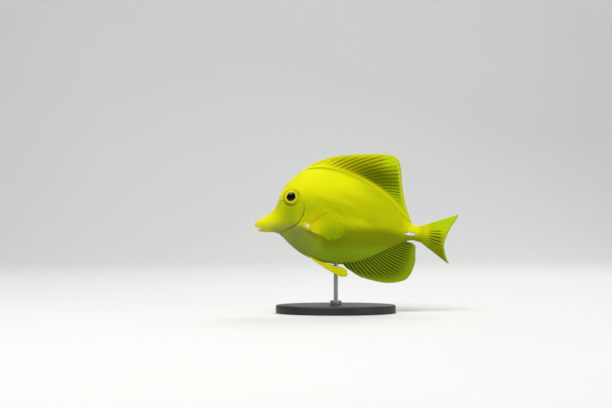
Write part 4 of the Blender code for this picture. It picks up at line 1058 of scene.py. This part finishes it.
blade_finish = finish("tail blade", {"Coat Weight": 0.4, "Coat Roughness": 0.1}, blade_pattern)
for side, word in SIDES:
    bm = bmesh.new()
    bmesh.ops.create_uvsphere(bm, u_segments=BLADE_STEPS, v_segments=BLADE_ROUNDS, radius=1.0)
    bmesh.ops.rotate(bm, verts=bm.verts, cent=(0, 0, 0), matrix=Matrix.Rotation(math.pi / 2, 3, "Y"))
    ball = np.array([vert.co for vert in bm.verts])
    full = BLADE_POINT + (1 - BLADE_POINT) * ease(-1.0, -0.1, ball[:, 0])
    x = BLADE_MIDDLE[0] + (BLADE_BACK - BLADE_FRONT) / 2 * ball[:, 0]
    y = side * (flank_at(x, BLADE_Z) + BLADE_STANDS_OUT) + ball[:, 1] * BLADE_HALF_DEPTH * full
    set_places(bm, x, y, BLADE_Z + ball[:, 2] * BLADE_HALF_HEIGHT * full)
    thorn = put(f"thorn_{word}", finished_mesh(bm, f"blade_{word}"), blade_finish)
    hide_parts(f"tail_blade_{word}")

# The stand. A heavy oval plate in satin black powder coat carries a brushed steel rod, held in a collar.
# The rod runs up between the pelvic fins into the belly.
PLATE_SEGMENTS, ROD_SEGMENTS, BEVEL_STEPS, SHARP_ANGLE = 160, 48, 5, math.radians(50)
PLATE_BEVEL, ROD_BEVEL, COLLAR_BEVEL = 1.1, 0.3, 0.5
PLATE_BLACK, PLATE_GREY = paint(30, 30, 32), paint(46, 46, 48)
STEEL, STEEL_DARK = paint(186, 186, 188), paint(120, 120, 124)


def plate_pattern(start):
    """Powder coat: nearly black, cloudy, with a fine orange-peel grain."""
    grain = start.noise(1400.0)
    return {
        "Base Color": start.noise(60.0).step(0.3, 0.7).mix(PLATE_BLACK, PLATE_GREY),
        "Roughness": grain * 0.3 + 0.28,
        "Normal": start.bump(grain, 0.06, 0.5),
    }


def steel_pattern(start):
    """Steel brushed along the rod."""
    brushed = start.noise(900.0, 3.0, where=start.stretched(1.0, 1.0, 0.06))
    return {"Base Color": brushed.mix(STEEL_DARK, STEEL), "Roughness": brushed * 0.35 + 0.18}


def turned(name, node, segments, bevel, look):
    """A round or oval piece that fills its node's box, standing up, with its upper edge rounded."""
    bm = bmesh.new()
    bmesh.ops.create_cone(bm, cap_ends=True, segments=segments, radius1=1.0, radius2=1.0, depth=2.0)
    low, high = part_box(node)
    middle, half = (low + high) / 2, (high - low) / 2
    bm.transform(Matrix.Translation(middle) @ Matrix.Diagonal((*half, 1.0)))
    edges = [edge for edge in bm.edges if all(vert.co.z > middle.z for vert in edge.verts)]
    bmesh.ops.bevel(bm, geom=edges, offset=bevel * MM, offset_type="OFFSET", segments=BEVEL_STEPS,
                    profile=0.5, affect="EDGES", material=-1)
    mesh = finished_mesh(bm, name)
    made = put(name, mesh, look)
    mesh.set_sharp_from_angle(angle=SHARP_ANGLE)
    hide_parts(node)
    return made


plate_finish = finish("powder coat", {"Specular IOR Level": 0.5}, plate_pattern)
steel_finish = finish("brushed steel", {"Metallic": 1.0}, steel_pattern)
plate = turned("plate", "stand_base", PLATE_SEGMENTS, PLATE_BEVEL, plate_finish)
rod = turned("rod", "stand_rod", ROD_SEGMENTS, ROD_BEVEL, steel_finish)
collar = turned("collar", "stand_collar", ROD_SEGMENTS, COLLAR_BEVEL, steel_finish)

# The studio. A pale floor sweeps up into a pale wall, under one broad light high in front, a weaker one
# from the right, a rim light behind and a pale sky.
FLOOR_PALE, WALL_PALE = paint(240, 240, 236), paint(234, 236, 234)
SKY_PALE, SKY_STRENGTH = (0.9, 0.93, 1.0, 1.0), 0.3
SWEEP_FRONT, SWEEP_BACK, SWEEP_RADIUS, SWEEP_SIDE, SWEEP_HIGH, SWEEP_ROWS = -2.2, 0.9, 0.5, 2.4, 2.2, 60
FISH_MIDDLE, WALL_MIDDLE = (-0.02, 0.0, 0.08), (0.0, 1.3, 0.3)
LIGHTS = (
    ("key", (-0.25, -0.55, 1.05), FISH_MIDDLE, 0.6, 9.0, (1.0, 0.99, 0.96)),
    ("fill", (0.9, -0.9, 0.5), FISH_MIDDLE, 0.7, 1.6, (0.96, 0.98, 1.0)),
    ("rim", (0.3, 0.7, 0.8), FISH_MIDDLE, 0.4, 2.5, (1.0, 1.0, 1.0)),
    ("wall wash", (0.0, 0.35, 1.7), WALL_MIDDLE, 1.2, 6.0, (0.98, 0.99, 1.0)),
)


def paper_pattern(start):
    """Matt paper with the faintest clouds."""
    return {"Base Color": start.noise(3.0).mix(FLOOR_PALE, WALL_PALE)}


bm = bmesh.new()
bmesh.ops.create_grid(bm, x_segments=2, y_segments=SWEEP_ROWS, size=1.0)
flat, curve = SWEEP_BACK - SWEEP_FRONT, SWEEP_RADIUS * math.pi / 2
for vert in bm.verts:
    run = (vert.co.y + 1) / 2 * (flat + curve + SWEEP_HIGH)
    bend = min(max((run - flat) / SWEEP_RADIUS, 0.0), math.pi / 2)
    vert.co = (
        vert.co.x * SWEEP_SIDE,
        SWEEP_FRONT + min(run, flat) + SWEEP_RADIUS * math.sin(bend),
        SWEEP_RADIUS * (1 - math.cos(bend)) + max(run - flat - curve, 0.0),
    )
mesh = finished_mesh(bm, "sweep")
mesh.materials.append(finish("studio paper", {"Roughness": 0.9, "Specular IOR Level": 0.1}, paper_pattern))
mesh.shade_smooth()
sweep = bpy.data.objects.new("sweep", mesh)
bpy.context.scene.collection.objects.link(sweep)

for name, place, target, size, watts, colour in LIGHTS:
    data = bpy.data.lights.new(name, "AREA")
    data.shape, data.size, data.energy, data.color = "SQUARE", size, watts, colour
    lamp = bpy.data.objects.new(name, data)
    lamp.location = place
    lamp.rotation_euler = (Vector(target) - Vector(place)).to_track_quat("-Z", "Y").to_euler()
    bpy.context.scene.collection.objects.link(lamp)
world = bpy.data.worlds.new("pale sky")
world.use_nodes = True
sky = world.node_tree.nodes["Background"]
sky.inputs["Color"].default_value, sky.inputs["Strength"].default_value = SKY_PALE, SKY_STRENGTH
bpy.context.scene.world = world
